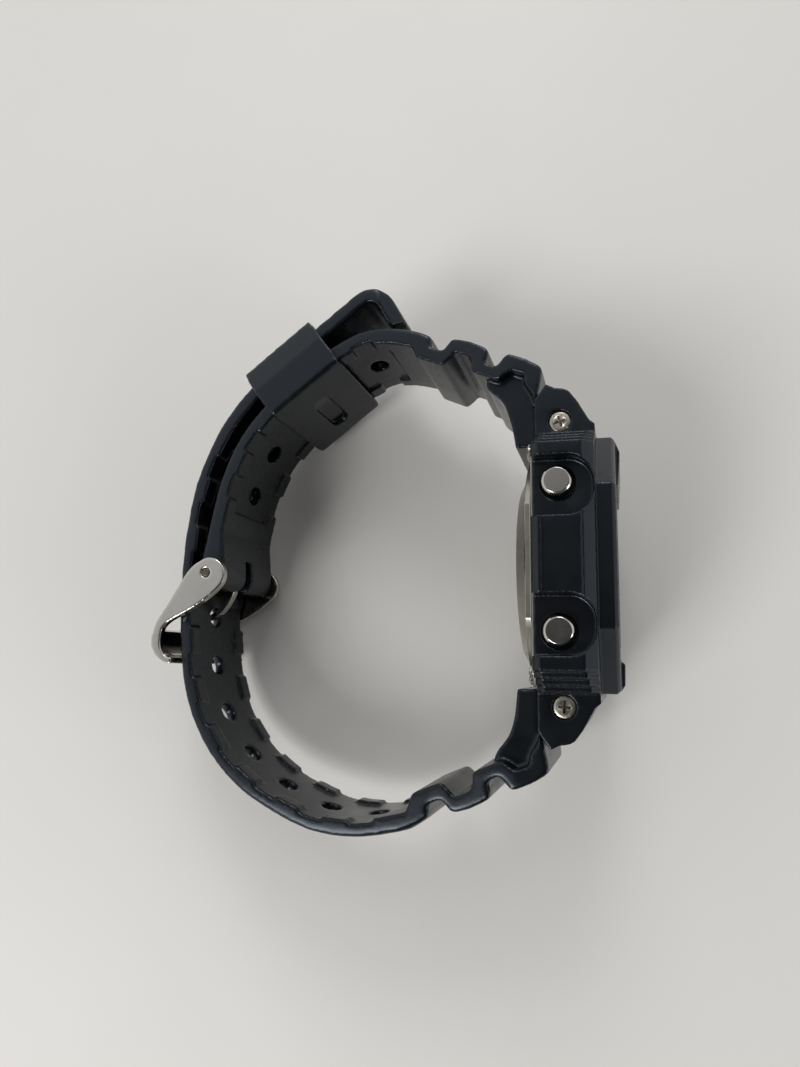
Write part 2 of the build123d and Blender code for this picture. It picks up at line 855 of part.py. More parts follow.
def biarc(start, end):
    """Two arcs that join two places smoothly, keeping both headings."""
    t1, t2 = Vector(*unit(start[2])), Vector(*unit(end[2]))
    first, last = Vector(start[0], start[1]), Vector(end[0], end[1])
    span = last - first
    spread = 2 * (1 - t1.dot(t2))
    along = span.dot(t1 + t2)
    if spread < 0.0001:
        reach = span.dot(span) / (4 * span.dot(t2))
    else:
        reach = (-along + math.sqrt(along ** 2 + spread * span.dot(span))) / spread
    joint = (first + last + (t1 - t2) * reach) / 2
    one = arc_to(start, (joint.X, joint.Y))
    middle = (joint.X, joint.Y, one.heading + one.turn)
    return [one, arc_to(middle, (end[0], end[1]))]


def point_on(segment, distance, offset):
    """A point along a segment, moved to its left by offset."""
    heading = segment.heading + segment.turn * distance / segment.length
    dx, dy = unit(heading)
    if abs(segment.turn) < 0.01:
        x, y = segment.x + distance * dx, segment.y + distance * dy
    else:
        radius = segment.length / math.radians(segment.turn)
        sx, sy = unit(segment.heading)
        x = segment.x + radius * (dy - sy)
        y = segment.y - radius * (dx - sx)
    return x - offset * dy, y + offset * dx


def place_on(route, distance):
    """The place (x, y, heading) at a distance along a route."""
    for segment in route:
        if distance <= segment.length or segment is route[-1]:
            x, y = point_on(segment, distance, 0)
            return x, y, segment.heading + segment.turn * distance / segment.length
        distance -= segment.length


def side_edge(segment, offset):
    """One side of a band along a segment."""
    start, middle, end = (
        point_on(segment, segment.length * share, offset) for share in (0, 0.5, 1))
    if abs(segment.turn) < 0.01:
        return Line(start, end)
    return ThreePointArc(start, middle, end)


def band_face(route, left, right):
    """The side view of a band along a route, between its distances to the left."""
    edges = [side_edge(segment, offset) for segment in route for offset in (left, right)]
    first, last = route[0], route[-1]
    for segment, distance in ((first, 0), (last, last.length)):
        edges.append(Line(point_on(segment, distance, left), point_on(segment, distance, right)))
    return make_face(edges)


def strap_band(route, thickness):
    """A band of even thickness along a route, as wide as the strap anywhere."""
    face = band_face(route, thickness / 2, -thickness / 2)
    return extrude(face, strap_half_width, both=True)


def in_loop(shares):
    """A place given in shares of the loop's reach and half height."""
    return shares[0] * loop_reach, shares[1] * loop_half_height, shares[2]


def bend_middle():
    """The middle of the round stretch that the keeper slides along."""
    dx, dy = unit(keeper_heading)
    x, y = keeper_x_share * loop_reach, keeper_y_share * loop_half_height
    return x - keeper_bend_radius * dy, y + keeper_bend_radius * dx


def keeper_place(along, outward):
    """A place (x, y, heading) on the round stretch, from the keeper's middle towards the pin."""
    turned = keeper_heading + math.degrees(along / keeper_bend_radius)
    dx, dy = unit(turned)
    x, y = bend_middle()
    reach = keeper_bend_radius + outward
    return x + reach * dy, y - reach * dx, turned


pin_x = pin_x_share * loop_reach
pin_y = pin_y_share * loop_half_height
bend_before = keeper_length / 2 + keeper_margin
bend_after = bend_before + keeper_travel


def buckle_route():
    """The middle line of the buckle half, from the corrugations to the pin."""
    places = [in_loop(shares) for shares in buckle_route_shares]
    places.append(keeper_place(-bend_before, 0))
    after = [keeper_place(bend_after, 0)]
    after += [in_loop(shares) for shares in buckle_route_end_shares]
    after.append((pin_x, pin_y, buckle_end_heading))
    bend = arc_to(places[-1], after[0])
    return join(places) + [bend] + join(after)


def backwards(place):
    """The same place, heading the other way."""
    return place[0], place[1], place[2] - 180


def tip_route():
    """The middle line of the tip half, from the corrugations to its free end."""
    places = [in_loop(shares) for shares in tip_route_shares]
    places.append(backwards(keeper_place(bend_after, layer_step)))
    middle = backwards(keeper_place(0, layer_step))
    route = join(places) + [arc_to(places[-1], middle)]
    straight = Segment(*middle, tail_straight, 0.0)
    x, y = point_on(straight, tail_straight, 0)
    curl_length = tail_curl_radius * math.radians(tail_curl_angle)
    curl = Segment(x, y, middle[2], curl_length, -tail_curl_angle)
    x, y = point_on(curl, curl_length, 0)
    end = Segment(x, y, middle[2] - tail_curl_angle, tail_end_length, 0.0)
    return route + [straight, curl, end]


def join(places):
    """A smooth route through places, with a pair of arcs from each to the next."""
    return [arc for start, end in zip(places, places[1:]) for arc in biarc(start, end)]


# Strap

def strap_half_at(x):
    """Half the strap's width at a place, which narrows away from the case."""
    share = -x / loop_reach
    for (near, wide), (far, narrow) in zip(strap_width_shares, strap_width_shares[1:]):
        if share <= far:
            part = max(0.0, (share - near) / (far - near))
            return strap_half_width * (wide + (narrow - wide) * part)
    return strap_half_width * strap_width_shares[-1][1]


def width_mask():
    """A tall prism that cuts a strap half to its narrowing width."""
    side = [(-share * loop_reach, strap_half_width * width) for share, width in strap_width_shares]
    side.insert(0, (rim_base_x, strap_half_width))
    points = side + [(x, -z) for x, z in reversed(side)]
    return length_prism(points, -2 * loop_half_height, 2 * loop_half_height)


def corrugation_points(shares, end):
    """Corrugation points at twelve or at six, from their shares of the pitch."""
    dx, dy = unit(corrugation_angle)
    points = []
    for along_share, out_share in shares:
        along, out = along_share * corrugation_pitch, out_share * corrugation_pitch
        if end < 0:
            along -= nearer_at_6
            out -= lower_at_6
        points.append((corrugation_start_x + along * dx + out * dy,
                       end * (corrugation_start_y + along * dy - out * dx)))
    return points


def corrugation_outline(route, thickness, end):
    """The side view of the corrugated part, at twelve or at six."""
    outer = point_on(route[0], 0, -end * thickness / 2)
    inner = point_on(route[0], 0, end * thickness / 2)
    seat = (case_back_x - strap_seat_gap, end * (lug_end_y + strap_seat_gap))
    return (corrugation_points(corrugation_top_shares, end) + [outer, inner]
            + corrugation_points(corrugation_under_shares, end) + [seat])


def end_block(end):
    """The block that fills the strap between the corrugations and the case back."""
    seat_x = case_back_x - strap_seat_gap
    end_y = plate_length / 2 + block_plate_gap
    shares = block_12_shares if end > 0 else block_6_shares
    inside = corrugation_points(shares, end) + [(seat_x - block_end_thickness, end * end_y)]
    back = [inside[-1], (seat_x, end * end_y), (seat_x, end * lug_end_y),
            *corrugation_points([block_root_share], end), inside[0]]
    face = make_face([Spline(*inside), Polyline(*back)])
    return extrude(face, strap_half_width - block_side_inset, both=True)


def corner_radii(points, end):
    """The rounding of each corner, on crests and in valleys, less where its edges are short."""
    radii = []
    following = points[1:] + points[:1]
    for before, corner, after in zip(points[-1:] + points, points, following):
        edge_in = Vector(*corner) - Vector(*before)
        edge_out = Vector(*after) - Vector(*corner)
        room = corner_room_share * min(edge_in.length, edge_out.length)
        turned = math.radians(edge_in.get_angle(edge_out))
        hollow = end * edge_in.cross(edge_out).Z < 0
        rounding = valley_corner if hollow else crest_corner
        radii.append(min(rounding, room / math.tan(turned / 2)))
    return radii


def strap_end(route, thickness, end):
    """The corrugated part with its end block and the eye for the spring bar."""
    outline = corrugation_outline(route, thickness, end)
    radii = corner_radii(outline, end)
    cut = len(corrugation_top_shares)
    radii[cut] = radii[cut + 1] = 0
    face = make_face(FilletPolyline(*outline, radius=radii, close=True))
    body = extrude(face, strap_half_width, both=True) & width_mask()
    body += end_block(end)
    tongue = lug_gap / 2 - strap_tongue_gap
    web = block(case_back_x - boss_radius, bar_x, end * bar_y - boss_radius,
                end * bar_y + boss_radius, -tongue, tongue)
    body += web + post(boss_radius, bar_x, end * bar_y, -tongue, tongue)
    return body - post(bar_radius + bar_gap, bar_x, end * bar_y, -half_width, half_width)


def across(place):
    """The plane at a place on a route that looks through the strap, with x along it."""
    x, y, heading = place
    dx, dy = unit(heading)
    return Plane(origin=(x, y, 0), x_dir=(dx, dy, 0), z_dir=(-dy, dx, 0))


def hole_cutter(place):
    """An oval hole through the strap at a place on its route."""
    return extrude(
        across(place) * Ellipse(hole_length / 2, hole_width / 2), tip_strap_thickness, both=True)


def edge_pads(place, inward):
    """Room for the two pads at the edges of a strap's inner face."""
    half = strap_half_at(place[0])
    for side in ENDS:
        middle = side * (half - pad_width / 2 + cut_over / 2)
        yield across(place).location * Pos(0, middle, inward * tip_strap_thickness / 2) * Box(
            pad_length, pad_width + cut_over, tip_strap_thickness)


def stretch(route, start, end):
    """The part of a route between two distances along it."""
    pieces = []
    for segment in route:
        low, high = max(start, 0), min(end, segment.length)
        if high > low:
            x, y = point_on(segment, low, 0)
            rate = segment.turn / segment.length
            pieces.append(Segment(
                x, y, segment.heading + rate * low, high - low, rate * (high - low)))
        start -= segment.length
        end -= segment.length
    return pieces


def relieved(body, route, thickness, first, count, inward):
    """A strap with its holes, and with its inner face sunk between the pads at its edges."""
    start, end = first - hole_pitch / 2, first + (count - 0.5) * hole_pitch
    level = inward * (thickness / 2 - pad_height)
    over = inward * (thickness / 2 + cut_over)
    sink = extrude(
        band_face(stretch(route, start, end), max(level, over), min(level, over)),
        strap_half_width, both=True)
    for number in range(count + 1):
        for pad in edge_pads(place_on(route, start + number * hole_pitch), inward):
            sink -= pad
    body -= sink
    for number in range(count):
        body -= hole_cutter(place_on(route, first + number * hole_pitch))
    return body


def strap_eye():
    """The round end of the buckle half, which swells towards the pin."""
    half = strap_half_at(pin_x)
    x, y, heading = place_on(buckle_route(), route_length(buckle_route()) - strap_eye_taper)
    dx, dy = unit(heading)
    reach = buckle_strap_thickness / 2
    taper = [
        (x - dy * reach, y + dx * reach), (x + dy * reach, y - dx * reach),
        (pin_x - strap_eye_radius, pin_y), (pin_x + strap_eye_radius, pin_y)]
    return side_prism(taper, -half, half) + post(strap_eye_radius, pin_x, pin_y, -half, half)


def route_length(route):
    """The length of a route."""
    return sum(segment.length for segment in route)


def make_buckle_strap():
    route = buckle_route()
    band = strap_band(route, buckle_strap_thickness) + strap_eye()
    body = strap_end(route, buckle_strap_thickness, 1) + (band & width_mask())
    body = relieved(
        body, route, buckle_strap_thickness, first_buckle_hole, buckle_hole_count, 1)
    body -= post(pin_radius + pin_gap, pin_x, pin_y, -half_width, half_width)
    slot = tongue_width / 2 + tongue_slot_gap
    return body - block(
        pin_x - arm_head_radius, pin_x + arm_head_radius, pin_y - arm_head_radius,
        pin_y + tongue_slot_length - arm_head_radius, -slot, slot)


def tail_mask(route):
    """A prism that narrows the free end to a blunt nose."""
    nose_x = point_on(route[-1], route[-1].length, 0)[0] + tip_strap_thickness
    half = strap_half_at(keeper_place(0, 0)[0]) * tail_width_share
    side = [(-loop_reach - cut_over, strap_half_at(-loop_reach)), (keeper_place(0, 0)[0], half),
            (nose_x - tail_nose_length, half), (nose_x, half * tail_nose_share)]
    points = side + [(x, -z) for x, z in reversed(side)]
    return length_prism(points, -loop_half_height, 2 * loop_half_height)


def tongue_crossing(route):
    """How far along the tip half the tongue passes through it."""
    prong = Spline(*[at_pin(share) for share in tongue_route_shares])
    points = [prong @ (number / crossing_samples) for number in range(crossing_samples)]
    steps = [number * crossing_step for number in range(int(route_length(route) / crossing_step))]

    def room(distance):
        x, y, _ = place_on(route, distance)
        return min(math.hypot(point.X - x, point.Y - y) for point in points)

    return min(steps, key=room)


def first_tip_hole(route):
    """Where the row of holes starts, so that one of them lies at the tongue."""
    margin = hole_pitch / 2
    return margin + (tongue_crossing(route) - margin) % hole_pitch


def make_tip_strap():
    route = tip_route()
    lower = [segment for segment in route if segment.y < 0]
    upper = route[len(lower):]
    body = strap_end(route, tip_strap_thickness, -1)
    body += strap_band(lower, tip_strap_thickness) & width_mask()
    body += strap_band(upper, tip_strap_thickness) & tail_mask(upper)
    return relieved(
        body, route, tip_strap_thickness, first_tip_hole(route), tip_hole_count, -1)


def make_spring_bar(end):
    """A spring bar between the lugs, with its two thin tips."""
    reach = lug_gap / 2
    bar = post(bar_radius, bar_x, end * bar_y, -reach + bar_end_gap, reach - bar_end_gap)
    return bar + post(
        bar_tip_radius, bar_x, end * bar_y, -reach - bar_tip_length, reach + bar_tip_length)


# Keeper

def keeper_levels():
    """How far out the keeper's passage begins and ends, from the inner layer's middle."""
    low = -buckle_strap_thickness / 2 - keeper_gap
    return low, layer_step + tip_strap_thickness / 2 + keeper_gap


def keeper_base():
    """How far out the keeper's inner wall begins, where the strap sags away from its ends."""
    sag = (keeper_length / 2) ** 2 / (2 * keeper_bend_radius)
    return keeper_levels()[0] - sag - keeper_inner_wall


def keeper_outline():
    """The keeper's outer section, as points (outward, side)."""
    top, base = keeper_levels()[1] + keeper_wall, keeper_base()
    wide = strap_half_at(keeper_place(0, 0)[0]) + keeper_side_gap + keeper_side_wall
    side = [(base, wide), (top - keeper_bevel_out, wide), (top, wide - keeper_bevel_side)]
    return side + [(n, -z) for n, z in reversed(side)]


def keeper_plane():
    """The keeper's middle plane, facing along the strap."""
    dx, dy = unit(keeper_heading)
    x, y = keeper_place(0, 0)[:2]
    return Plane(origin=(x, y, 0), x_dir=(dy, -dx, 0), z_dir=(dx, dy, 0))


def keeper_passage(half):
    """The room for both strap layers: round with them, and straight where the tip leaves."""
    low, high = keeper_levels()
    start, end = keeper_place(-keeper_length, 0), keeper_place(keeper_length, 0)
    passage = extrude(band_face([arc_to(start, end)], -high, -low), half, both=True)
    middle = keeper_place(0, 0)
    leaving = Segment(*backwards(middle), keeper_length, 0.0)
    return passage + extrude(band_face([leaving], high, 0), half, both=True)


def keeper_slot():
    """The slot in the inner wall, which gets deeper from one side and ends round."""
    base = keeper_base()
    floor = base + keeper_slot_depth
    ramp = [
        (base - cut_over, -keeper_slot_start), (base, -keeper_slot_start),
        (floor, keeper_slot_ramp - keeper_slot_start), (floor, keeper_slot_reach),
        (base - cut_over, keeper_slot_reach)]
    depth = extrude(keeper_plane() * Polygon(*ramp, align=None), keeper_slot_width, both=True)
    dx, dy = unit(keeper_heading)
    facing = Plane(origin=keeper_plane().origin, x_dir=(0, 0, 1), z_dir=(dy, -dx, 0))
    middle = (keeper_slot_start - keeper_slot_reach) / 2
    mouth = facing * Pos(middle, 0) * SlotOverall(
        keeper_slot_start + keeper_slot_reach, keeper_slot_width)
    return depth & extrude(mouth, loop_reach, both=True)


def make_keeper():
    shell = extrude(keeper_plane() * Polygon(*keeper_outline()), keeper_length / 2, both=True)
    shell -= keeper_passage(strap_half_at(keeper_place(0, 0)[0]) + keeper_side_gap)
    return shell - keeper_slot()


# Buckle

def at_pin(share):
    """A point beside the pin, in shares of the buckle's reach."""
    return pin_x + share[0] * buckle_reach, pin_y + share[1] * buckle_reach


def arm_half():
    """Where the inner face of a buckle arm lies, from the middle."""
    return strap_half_at(pin_x) + arm_gap


def curved_face(outer_shares, inner_shares):
    """A face between two curved edges, each through a few points."""
    outer = [at_pin(share) for share in outer_shares]
    inner = [at_pin(share) for share in inner_shares]
    return make_face([
        Spline(*outer), Line(outer[-1], inner[0]), Spline(*inner), Line(inner[-1], outer[0])])


def make_buckle_frame():
    inner, outer = arm_half(), arm_half() + arm_thickness
    arm = extrude(Pos(0, 0, inner) * curved_face(arm_outer_shares, arm_inner_shares),
                  arm_thickness, dir=(0, 0, 1))
    arm += post(arm_head_radius, *at_pin(arm_head_share), inner, outer)
    arm -= post(pin_radius + pin_gap, pin_x, pin_y, inner - cut_over, outer + cut_over)
    frame = extrude(curved_face(bar_outer_shares, bar_inner_shares), outer, both=True)
    frame += arm
    return frame + mirror(arm, about=Plane.XY)


def make_buckle_pin():
    reach = arm_half() + arm_thickness
    return post(pin_radius, pin_x, pin_y, -reach, reach)


def make_buckle_tongue():
    half = tongue_width / 2
    route = [at_pin(share) for share in tongue_route_shares]
    middle = Spline(*route)
    start = Plane(origin=middle @ 0, x_dir=(0, 0, 1), z_dir=middle % 0)
    prong = sweep(start * Rectangle(tongue_width, tongue_thickness), path=middle)
    prong += post(tongue_eye_radius, pin_x, pin_y, -half, half)
    return prong - post(pin_radius + pin_gap, pin_x, pin_y, -half_width, half_width)


# Assembly

def build_watch():
    """Every node of the watch, in the frame of its case."""
    nodes = {
        "bezel": make_bezel(),
        "bezel_screws": make_bezel_screws(),
        "center_case": make_center_case(),
        "button_bushes": make_button_bushes(),
        "crystal": make_crystal(),
        "crystal_gasket": make_crystal_gasket(),
        "face_plate": make_face_plate(),
        "lcd_panel": make_lcd_panel(),
        "light_guide": make_light_guide(),
        "light_led": make_light_led(),
        "lcd_connectors": make_lcd_connectors(),
        "module_frame": make_module_frame(),
        "circuit_board": make_circuit_board(),
        "processor_chip": make_processor_chip(),
        "quartz_can": make_quartz_can(),
        "module_back": make_module_back(),
        "battery": make_battery(),
        "battery_clip": make_battery_clip(),
        "switch_contacts": make_switch_contacts(),
        "back_gasket": make_back_gasket(),
        "case_back": make_case_back(),
        "case_back_screws": make_case_back_screws(),
        "buzzer_disc": make_buzzer_disc(),
        "buzzer_spring": make_buzzer_spring(),
        "shock_pad": make_shock_pad(),
        "spring_bar_12": make_spring_bar(1),
        "spring_bar_6": make_spring_bar(-1),
        "buckle_strap": make_buckle_strap(),
        "tip_strap": make_tip_strap(),
        "keeper": make_keeper(),
        "buckle_pin": make_buckle_pin(),
        "buckle_frame": make_buckle_frame(),
        "buckle_tongue": make_buckle_tongue(),
    }
    button_parts = {
        "button": make_button(), "seal": make_button_seal(),
        "clip": make_button_clip(), "spring": make_button_spring()}
    places = {"adjust": (1, 1), "mode": (-1, 1), "light": (1, -1), "start": (-1, -1)}
    for name, (end, side) in places.items():
        for part, shape in button_parts.items():
            nodes[name + "_" + part] = button_place(end, side) * shape
    return nodes


def rest_tilt():
    """How far the watch leans, from the case's back edge to the buckle, in degrees."""
    guard_edge = case_back_x + guard_back_bevel
    bar_end = at_pin(bar_outer_shares[1])[0]
    drop = half_width - arm_half() - arm_thickness
    return math.degrees(math.atan2(drop, guard_edge - bar_end))


def as_group(shape):
    """One shape from a solid or a list of solids."""
    pieces = shape if isinstance(shape, list) else [shape]
    solids = [solid for piece in pieces for solid in piece.solids()]
    return solids[0] if len(solids) == 1 else Compound(solids)


def lay_down(nodes):
    """The placement that rests the watch on its side, with the origin under its middle."""
    lean = Rot(0, -rest_tilt(), 0)
    box = Compound([lean * shape for shape in nodes.values()]).bounding_box()
    middle = box.center()
    return Pos(-middle.X, -middle.Y, -box.min.Z) * lean


watch = {name: as_group(shape) for name, shape in build_watch().items()}
resting = lay_down(watch)

os.makedirs("parts", exist_ok=True)
for name, shape in watch.items():
    export_step(resting * shape, "parts/" + name + ".step")
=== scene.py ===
"""A digital watch in black resin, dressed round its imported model.

Every length is in millimetres until a mesh is made, and in metres from there on.
"""
import json
import logging
import math
from dataclasses import dataclass, field
from enum import Enum
from functools import cached_property
from typing import Callable

import bmesh
import bpy
from mathutils import Euler, Matrix, Vector
from mathutils.kdtree import KDTree

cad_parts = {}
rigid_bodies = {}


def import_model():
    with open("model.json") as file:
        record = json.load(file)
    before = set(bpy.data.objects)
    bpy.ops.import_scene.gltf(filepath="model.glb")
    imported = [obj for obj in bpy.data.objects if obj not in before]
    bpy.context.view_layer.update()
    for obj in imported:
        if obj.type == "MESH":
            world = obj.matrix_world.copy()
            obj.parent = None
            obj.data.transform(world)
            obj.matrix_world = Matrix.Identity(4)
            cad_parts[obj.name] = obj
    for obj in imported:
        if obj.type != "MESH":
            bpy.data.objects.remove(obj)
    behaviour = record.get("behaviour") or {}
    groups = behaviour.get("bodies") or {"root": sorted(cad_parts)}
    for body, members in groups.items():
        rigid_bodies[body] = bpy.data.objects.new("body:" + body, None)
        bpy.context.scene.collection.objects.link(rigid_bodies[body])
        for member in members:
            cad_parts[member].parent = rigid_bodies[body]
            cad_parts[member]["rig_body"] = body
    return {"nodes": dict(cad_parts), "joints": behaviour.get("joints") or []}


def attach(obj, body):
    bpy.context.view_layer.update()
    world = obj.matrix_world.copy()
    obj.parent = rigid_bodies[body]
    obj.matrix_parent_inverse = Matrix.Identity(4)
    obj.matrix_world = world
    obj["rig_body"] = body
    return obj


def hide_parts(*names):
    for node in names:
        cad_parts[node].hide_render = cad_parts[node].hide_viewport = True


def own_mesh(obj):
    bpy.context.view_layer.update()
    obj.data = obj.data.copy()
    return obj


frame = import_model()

LOG = logging.getLogger("watch")
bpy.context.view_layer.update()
MM = 0.001
# Corners of loose triangles that lie nearer than this are one corner
WELD = 0.002
# Faces that bend by less than this, in degrees, are one flat face
FLAT_DEGREES = 0.3
# The least bend of an edge that is rounded, and of one that is marked for more rounding
SHARP_DEGREES = 28.0
MARKED_DEGREES = 35.0
# How squarely a direction lies along another: more than one share, or less than the other
ALONG_SHARE = 0.9
ACROSS_SHARE = 0.5
# The widest rounding that a face has room for beside each of its edges
ROOM_SHARE = 0.42
# How often a skin is eased where its edges are roundest, and how far from the edge
ROUNDING_ROUNDS = 44
ROUNDING_REACH = 1.7
# How far one round of easing takes a corner towards the middle of its neighbours
EASING_FACTOR = 0.5
# How far a skin's grid is turned, so that no long edge runs nearly along it
GRID_DEGREES = (31.0, 23.0, 17.0)
GRID = Euler([math.radians(angle) for angle in GRID_DEGREES]).to_matrix().to_4x4()
# The values that a noise mostly stays between
NOISE_LOW = 0.3
NOISE_HIGH = 0.7
# How narrow the strokes of a brushed face are, as a share of their length
BRUSH_SHARE = 0.06
# The case's corners, and the buttons': towards twelve or six, and towards nine or three
CORNERS = ((1, 1), (1, -1), (-1, 1), (-1, -1))
BUTTONS = {"adjust": (1, 1), "mode": (-1, 1), "light": (1, -1), "start": (-1, -1)}
# How far in front of the case's middle the buttons lie
BUTTON_X = -1.75

EdgeRule = Callable[[bmesh.types.BMEdge], float]


# Colours and nodes


def linear(colour: str) -> tuple[float, float, float, float]:
    """Turns an sRGB colour into linear light.

    Args:
        colour: six hex digits.

    Returns:
        Red, green, blue and an alpha of one.
    """
    parts = [int(colour[at:at + 2], 16) / 255 for at in (0, 2, 4)]
    light = [p / 12.92 if p <= 0.04045 else ((p + 0.055) / 1.055) ** 2.4 for p in parts]
    return light[0], light[1], light[2], 1.0


def per_mm(size: float) -> float:
    """The Scale of a noise whose features are a size in millimetres, on Object coordinates."""
    return 1 / (size * MM)


def add_node(tree: bpy.types.NodeTree, kind: str, inputs: dict | None = None,
             **settings: object) -> bpy.types.Node:
    """Adds one node with its settings, values and links.

    Args:
        tree: the tree that gets the node.
        kind: the node's type name.
        inputs: for a socket's name or number, a value or the output to link to it.
        settings: the node's own properties.

    Returns:
        The new node.
    """
    node = tree.nodes.new(kind)
    for name, value in settings.items():
        setattr(node, name, value)
    for key, value in (inputs or {}).items():
        if isinstance(value, bpy.types.NodeSocket):
            tree.links.new(value, node.inputs[key])
        else:
            node.inputs[key].default_value = value
    return node


def add_noise(tree: bpy.types.NodeTree, place: bpy.types.NodeSocket, size: float,
              detail: float, roughness: float) -> bpy.types.NodeSocket:
    """Adds a noise.

    Args:
        tree: the tree that gets it.
        place: the coordinates that it follows.
        size: the size of its features.
        detail: how many finer layers it has.
        roughness: how strong those layers are.

    Returns:
        Its value.
    """
    return add_node(tree, "ShaderNodeTexNoise", {
        "Vector": place, "Scale": per_mm(size), "Detail": detail,
        "Roughness": roughness}).outputs[0]


class Grain(Enum):
    """How the fine marks of a surface run."""

    MOULDED = "moulded"
    POLISHED = "polished"
    BRUSHED = "brushed"
    PLAIN = "plain"


@dataclass(frozen=True)
class Finish:
    """A material and how its surface was made."""

    name: str
    colour: str
    roughness: float
    metallic: float = 0.0
    ior: float = 1.5
    grain: Grain = Grain.PLAIN
    grain_size: float = 0.3
    grain_depth: float = 0.002
    patch_size: float = 5.0
    patch_roughness: float = 0.08
    tint: str = ""
    coat: float = 0.0
    transmission: float = 0.0
    reflection: str = "FFFFFF"

    def material(self) -> bpy.types.Material:
        """Makes the material once and gives it again when asked."""
        known = bpy.data.materials.get(self.name)
        if known:
            return known
        made = bpy.data.materials.new(self.name)
        made.use_nodes = True
        tree = made.node_tree
        shader = tree.nodes["Principled BSDF"]
        shader.inputs["Metallic"].default_value = self.metallic
        shader.inputs["IOR"].default_value = self.ior
        shader.inputs["Specular Tint"].default_value = linear(self.reflection)
        shader.inputs["Coat Weight"].default_value = self.coat
        shader.inputs["Transmission Weight"].default_value = self.transmission
        self.dress(tree, shader)
        return made

    def dress(self, tree: bpy.types.NodeTree, shader: bpy.types.Node) -> None:
        """Adds the patches of colour and gloss, and the grain.

        Args:
            tree: the material's tree.
            shader: its main shader.
        """
        place = add_node(tree, "ShaderNodeTexCoord").outputs["Object"]
        patches = add_noise(tree, place, self.patch_size, detail=4.0, roughness=0.6)
        colours = add_node(tree, "ShaderNodeMix", {
            "Factor": patches, "A": linear(self.colour),
            "B": linear(self.tint or self.colour)}, data_type="RGBA")
        tree.links.new(colours.outputs["Result"], shader.inputs["Base Color"])
        gloss = add_node(tree, "ShaderNodeMapRange", {
            "Value": patches, "From Min": NOISE_LOW, "From Max": NOISE_HIGH,
            "To Min": max(self.roughness - self.patch_roughness, 0.0),
            "To Max": self.roughness + self.patch_roughness})
        tree.links.new(gloss.outputs["Result"], shader.inputs["Roughness"])
        if self.grain is Grain.PLAIN:
            return
        along = BRUSH_SHARE if self.grain is Grain.BRUSHED else 1.0
        drawn = add_node(tree, "ShaderNodeMapping", {
            "Vector": place, "Scale": (1.0, along, 1.0)}).outputs["Vector"]
        grain = add_noise(tree, drawn, self.grain_size, detail=3.0, roughness=0.55)
        bump = add_node(tree, "ShaderNodeBump", {
            "Height": grain, "Distance": self.grain_depth * MM, "Strength": 1.0})
        tree.links.new(bump.outputs["Normal"], shader.inputs["Normal"])


# Black moulded urethane: a satin skin with spark-eroded grain. The real grain is under 0.1 mm,
# too fine to show, so it is drawn at 0.22 mm.
# The pale blue reflection tint is painted light: it gives the resin's reflections the cool cast of
# the room's light.
RESIN = Finish("moulded_urethane_resin", "080A0D", 0.26, grain=Grain.MOULDED, grain_size=0.22,
               grain_depth=0.004, patch_size=7.0, patch_roughness=0.05, tint="0B0E12",
               reflection="D8E4F0")
# Glass-filled polyamide of the inner case, duller than the resin.
CASE_POLYMER = Finish("glass_filled_polyamide", "0F1113", 0.5, grain=Grain.MOULDED,
                      grain_size=0.3, grain_depth=0.005, tint="141618")
# Polished stainless steel: mirror bright with faint wiping marks.
POLISHED_STEEL = Finish("polished_stainless_steel", "C9C6C0", 0.13, 1.0,
                        grain=Grain.POLISHED, grain_size=0.9, grain_depth=0.003,
                        patch_size=2.5, patch_roughness=0.05, tint="BDB9B2")
# Pressed steel back with a fine brushed skin; strokes run towards twelve.
BRUSHED_STEEL = Finish("brushed_stainless_steel", "AAA69D", 0.3, 1.0, grain=Grain.BRUSHED,
                       grain_size=0.16, grain_depth=0.003, patch_size=6.0, tint="9C978D")
# Nickel-plated steel screws, slightly dulled.
SCREW_STEEL = Finish("nickel_plated_screw_steel", "CDC8BE", 0.33, 1.0, grain=Grain.POLISHED,
                     grain_size=0.3, grain_depth=0.003, patch_size=1.0, tint="8F887B")
# The pin's cut end, matt and darker than the frame.
PIN_STEEL = Finish("cut_steel_pin", "6B655C", 0.42, 1.0, patch_size=0.4, tint="59534B")
# Flat mineral glass, clear and polished.
MINERAL_GLASS = Finish("mineral_glass", "F4F7F6", 0.004, ior=1.52, transmission=1.0,
                       patch_size=20.0, patch_roughness=0.004)
BLACK_PRINT = Finish("printed_black_enamel", "0D0E10", 0.45, tint="121316")
PALE_PRINT = Finish("printed_silver_grey", "9BA0A3", 0.4, tint="8D9396")
LCD_GLASS = Finish("liquid_crystal_glass", "8E9684", 0.32, coat=0.6, patch_size=12.0,
                   patch_roughness=0.02, tint="879080")
SEGMENT_INK = Finish("liquid_crystal_segment", "1C211F", 0.4, tint="191D1C")
LIGHT_PLATE = Finish("acrylic_light_plate", "C9D3D0", 0.3, tint="BDC9C6")
LAMP = Finish("lamp_epoxy", "DCE8E4", 0.2, ior=1.55, tint="D2DEDA")
SEAL_RUBBER = Finish("nitrile_rubber", "121314", 0.62, grain=Grain.MOULDED, tint="18191A")
CONTACT_RUBBER = Finish("zebra_contact_rubber", "7F8284", 0.6, tint="4A4C4E",
                        patch_size=0.4)
MODULE_POLYMER = Finish("acetal_module_plastic", "2A2C30", 0.5, grain=Grain.MOULDED,
                        tint="303338")
BOARD = Finish("glass_epoxy_board", "0E5B3A", 0.42, patch_size=1.2, tint="0B4A30",
               coat=0.3)
CHIP = Finish("moulded_epoxy_chip", "17181A", 0.55, grain=Grain.MOULDED, tint="1D1E20")
BRASS = Finish("contact_brass", "C9A24B", 0.28, 1.0, grain=Grain.BRUSHED, tint="B98F3D")
